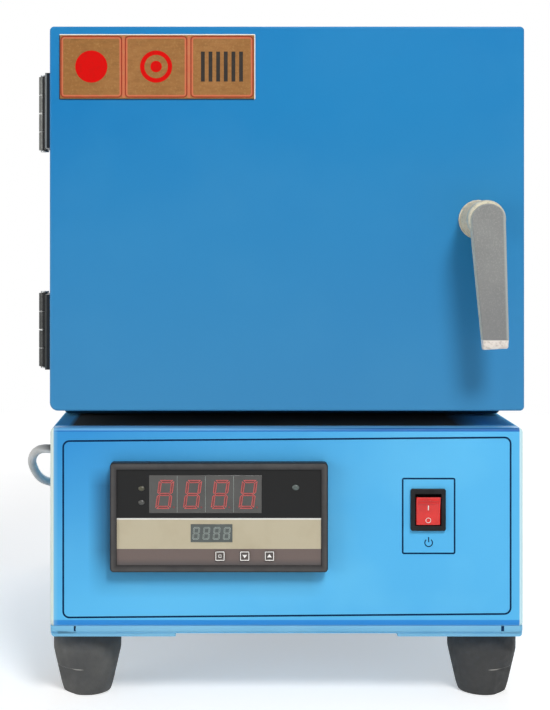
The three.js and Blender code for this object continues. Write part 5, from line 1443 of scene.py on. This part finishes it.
for tone_name, ((x, z), radius, tone) in lenses.items():
    lens = Finish(f"lamp_{tone_name}", tone, 0.3, Coat_Weight=0.4)
    lens.mottle(900, 3, 0.4, 0.7, shade(tone, 0.7))
    profile = [(0, 0), (radius, 0), (radius, 0.0002), (radius * 0.82, 0.0005), (radius * 0.45, 0.0008),
               (0, lens_height)]
    cap = turned(profile, 32, (x, face_low.y, z), "-Y")
    for vert in cap.verts:
        vert.co.z = z + (vert.co.z - z) * lens_flattening
    finished(cap, f"lamp_{tone_name}_lens", "furnace", lens, crisp=60)

# Temperature controller, keys: three square rubber caps with a printed white edge; the second and
# third carry arrowheads, the first a small square.
key_rubber = Finish("key_rubber", colour(84, 76, 72), 0.62)
key_rubber.mottle(300, 3, 0.4, 0.7, colour(72, 65, 62))
key_rubber.relief(1800, 2, 0.00006)
white_print = Finish("white_print", colour(255, 252, 247), 0.5)
white_print.mottle(400, 4, 0.5, 0.8, colour(236, 230, 222))
arrow_half = 0.0017
arrow_foot = 0.0009
arrow_tip = 0.0015
square_half = 0.0011
key_marks = {
    "set": rounded(-square_half, square_half, -square_half, square_half, 0.0002, 2),
    "down": [(-arrow_half, arrow_foot), (arrow_half, arrow_foot), (0, -arrow_tip)],
    "up": [(-arrow_half, -arrow_foot), (arrow_half, -arrow_foot), (0, arrow_tip)],
}
key_corner = 0.0006
key_edge = 0.0003
key_line_inset = 0.0003
key_line_corner = 0.0005
key_line_width = 0.00055
square_line_width = 0.0004
for key, outline in key_marks.items():
    low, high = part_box(f"key_{key}")
    cap = block(low, high)
    round_off(cap, edges_along(cap, 1), key_corner, 3)
    round_off(cap, front_edges(cap, low.y, 50), key_edge, 2)
    finished(cap, f"key_{key}_cap", f"{key}_key", key_rubber, [f"key_{key}"], crisp=30)
    centre = (low + high) / 2
    key_face = low.y - print_gap / 2
    edge_line = rounded(low.x + key_line_inset, high.x - key_line_inset, low.z + key_line_inset,
                        high.z - key_line_inset, key_line_corner, 3)
    moved = [(centre.x + x, centre.z + z) for x, z in outline]
    marks = [printed(edge_line, key_face, key_line_width),
             printed(moved, key_face, square_line_width if key == "set" else 0)]
    finished(merge_shapes(marks), f"key_{key}_print", f"{key}_key", white_print)

# Temperature controller, behind the panel: the black plastic housing and the two zinc-plated clamps
# that draw it against the sheet.
coated("controller_housing", black_plastic)
for side in ("left", "right"):
    coated(f"controller_clamp_{side}", zinc_steel)

# Power switch, frame: moulded in black plastic and snapped into the panel, with a well that the
# rocker tips in.
worked("switch_frame", "furnace", black_plastic, 0.0002, 2)

# Power switch, rocker: clear red plastic with a dished face, two ribs near its top, and a bar for
# on and a ring for off printed in white. It rests tipped with its upper end out.
red_plastic = Finish("red_plastic", colour(232, 34, 26), 0.25, Coat_Weight=0.3, Coat_Roughness=0.12,
                     Subsurface_Weight=0.15, Subsurface_Scale=0.002)
red_plastic.mottle(140, 3, 0.4, 0.75, colour(214, 26, 20))
red_plastic.relief(700, 2, 0.00003)
rocker_low, rocker_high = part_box("switch_rocker")
rocker_pivot = Vector((0.11315, -0.20565, 0.1415))
rocker_half = 0.0106
rocker_front = -0.006
rocker_dip = 0.0013
rocker_back = 0.0015
rocker_play = 0.0004
rocker_edge = 0.0006
rocker_tilt = 8
dip_steps = 8
rib_levels = (0.0059, 0.0082)
rib_inset = 0.0012
rib_half_depth = 0.0006
rib_half_height = 0.0004
rib_edge = 0.0003


# Distance of the rocker's face from its pivot plane at a height on it
def rocker_face(z):
    along = z / rocker_half
    return rocker_front + rocker_dip * (1 - along * along)


side_outline = []
for step in range(dip_steps + 1):
    z = rocker_half * (1 - 2 * step / dip_steps)
    side_outline.append((rocker_face(z), z))
side_outline += [(rocker_back, -rocker_half * 0.8), (rocker_back, rocker_half * 0.8)]
rocker_half_width = (rocker_high.x - rocker_low.x) / 2 - rocker_play
rocker = bmesh.new()
cheek = rocker.faces.new([rocker.verts.new((-rocker_half_width, y, z)) for y, z in side_outline])
drawn_out(rocker, [cheek], (2 * rocker_half_width, 0, 0))
bmesh.ops.recalc_face_normals(rocker, faces=rocker.faces)
round_off(rocker, sharp_edges(rocker, 40), rocker_edge, 3)
for z in rib_levels:
    rib_half = Vector((rocker_half_width - rib_inset, rib_half_depth, rib_half_height))
    rib_middle = Vector((0, rocker_face(z), z))
    rib = block(rib_middle - rib_half, rib_middle + rib_half)
    round_off(rib, edges_along(rib, 0), rib_edge, 2)
    rocker = merge_shapes([rocker, rib])
tilt = Matrix.Translation(rocker_pivot) @ Matrix.Rotation(math.radians(rocker_tilt), 4, "X")
rocker.transform(tilt)
finished(rocker, "rocker_cap", "rocker", red_plastic, ["switch_rocker"], crisp=30)
on_half_width = 0.0003
on_low_z, on_high_z = 0.0005, 0.0041
on_lift = 0.00012
off_z = -0.0069
off_radius = 0.0020
off_line_width = 0.0004
off_lift = 0.00045
on_outline = rounded(-on_half_width, on_half_width, on_low_z, on_high_z, on_half_width / 2, 2)
on_mark = printed(on_outline, rocker_face((on_low_z + on_high_z) / 2) - on_lift)
off_mark = printed(ring_outline(0, off_z, off_radius, 28), rocker_face(off_z) - off_lift, off_line_width)
rocker_marks = merge_shapes([on_mark, off_mark])
rocker_marks.transform(tilt)
finished(rocker_marks, "rocker_print", "rocker", white_print)

# Inside the control box: the relay in grey plastic on its finned aluminium heat sink, and the
# terminal block in black plastic.
grey_plastic = Finish("grey_plastic", colour(158, 160, 158), 0.5)
grey_plastic.mottle(90, 3, 0.45, 0.75, colour(142, 144, 142))
coated("heat_sink", cast_aluminium)
coated("solid_state_relay", grey_plastic)
coated("terminal_block", black_plastic)
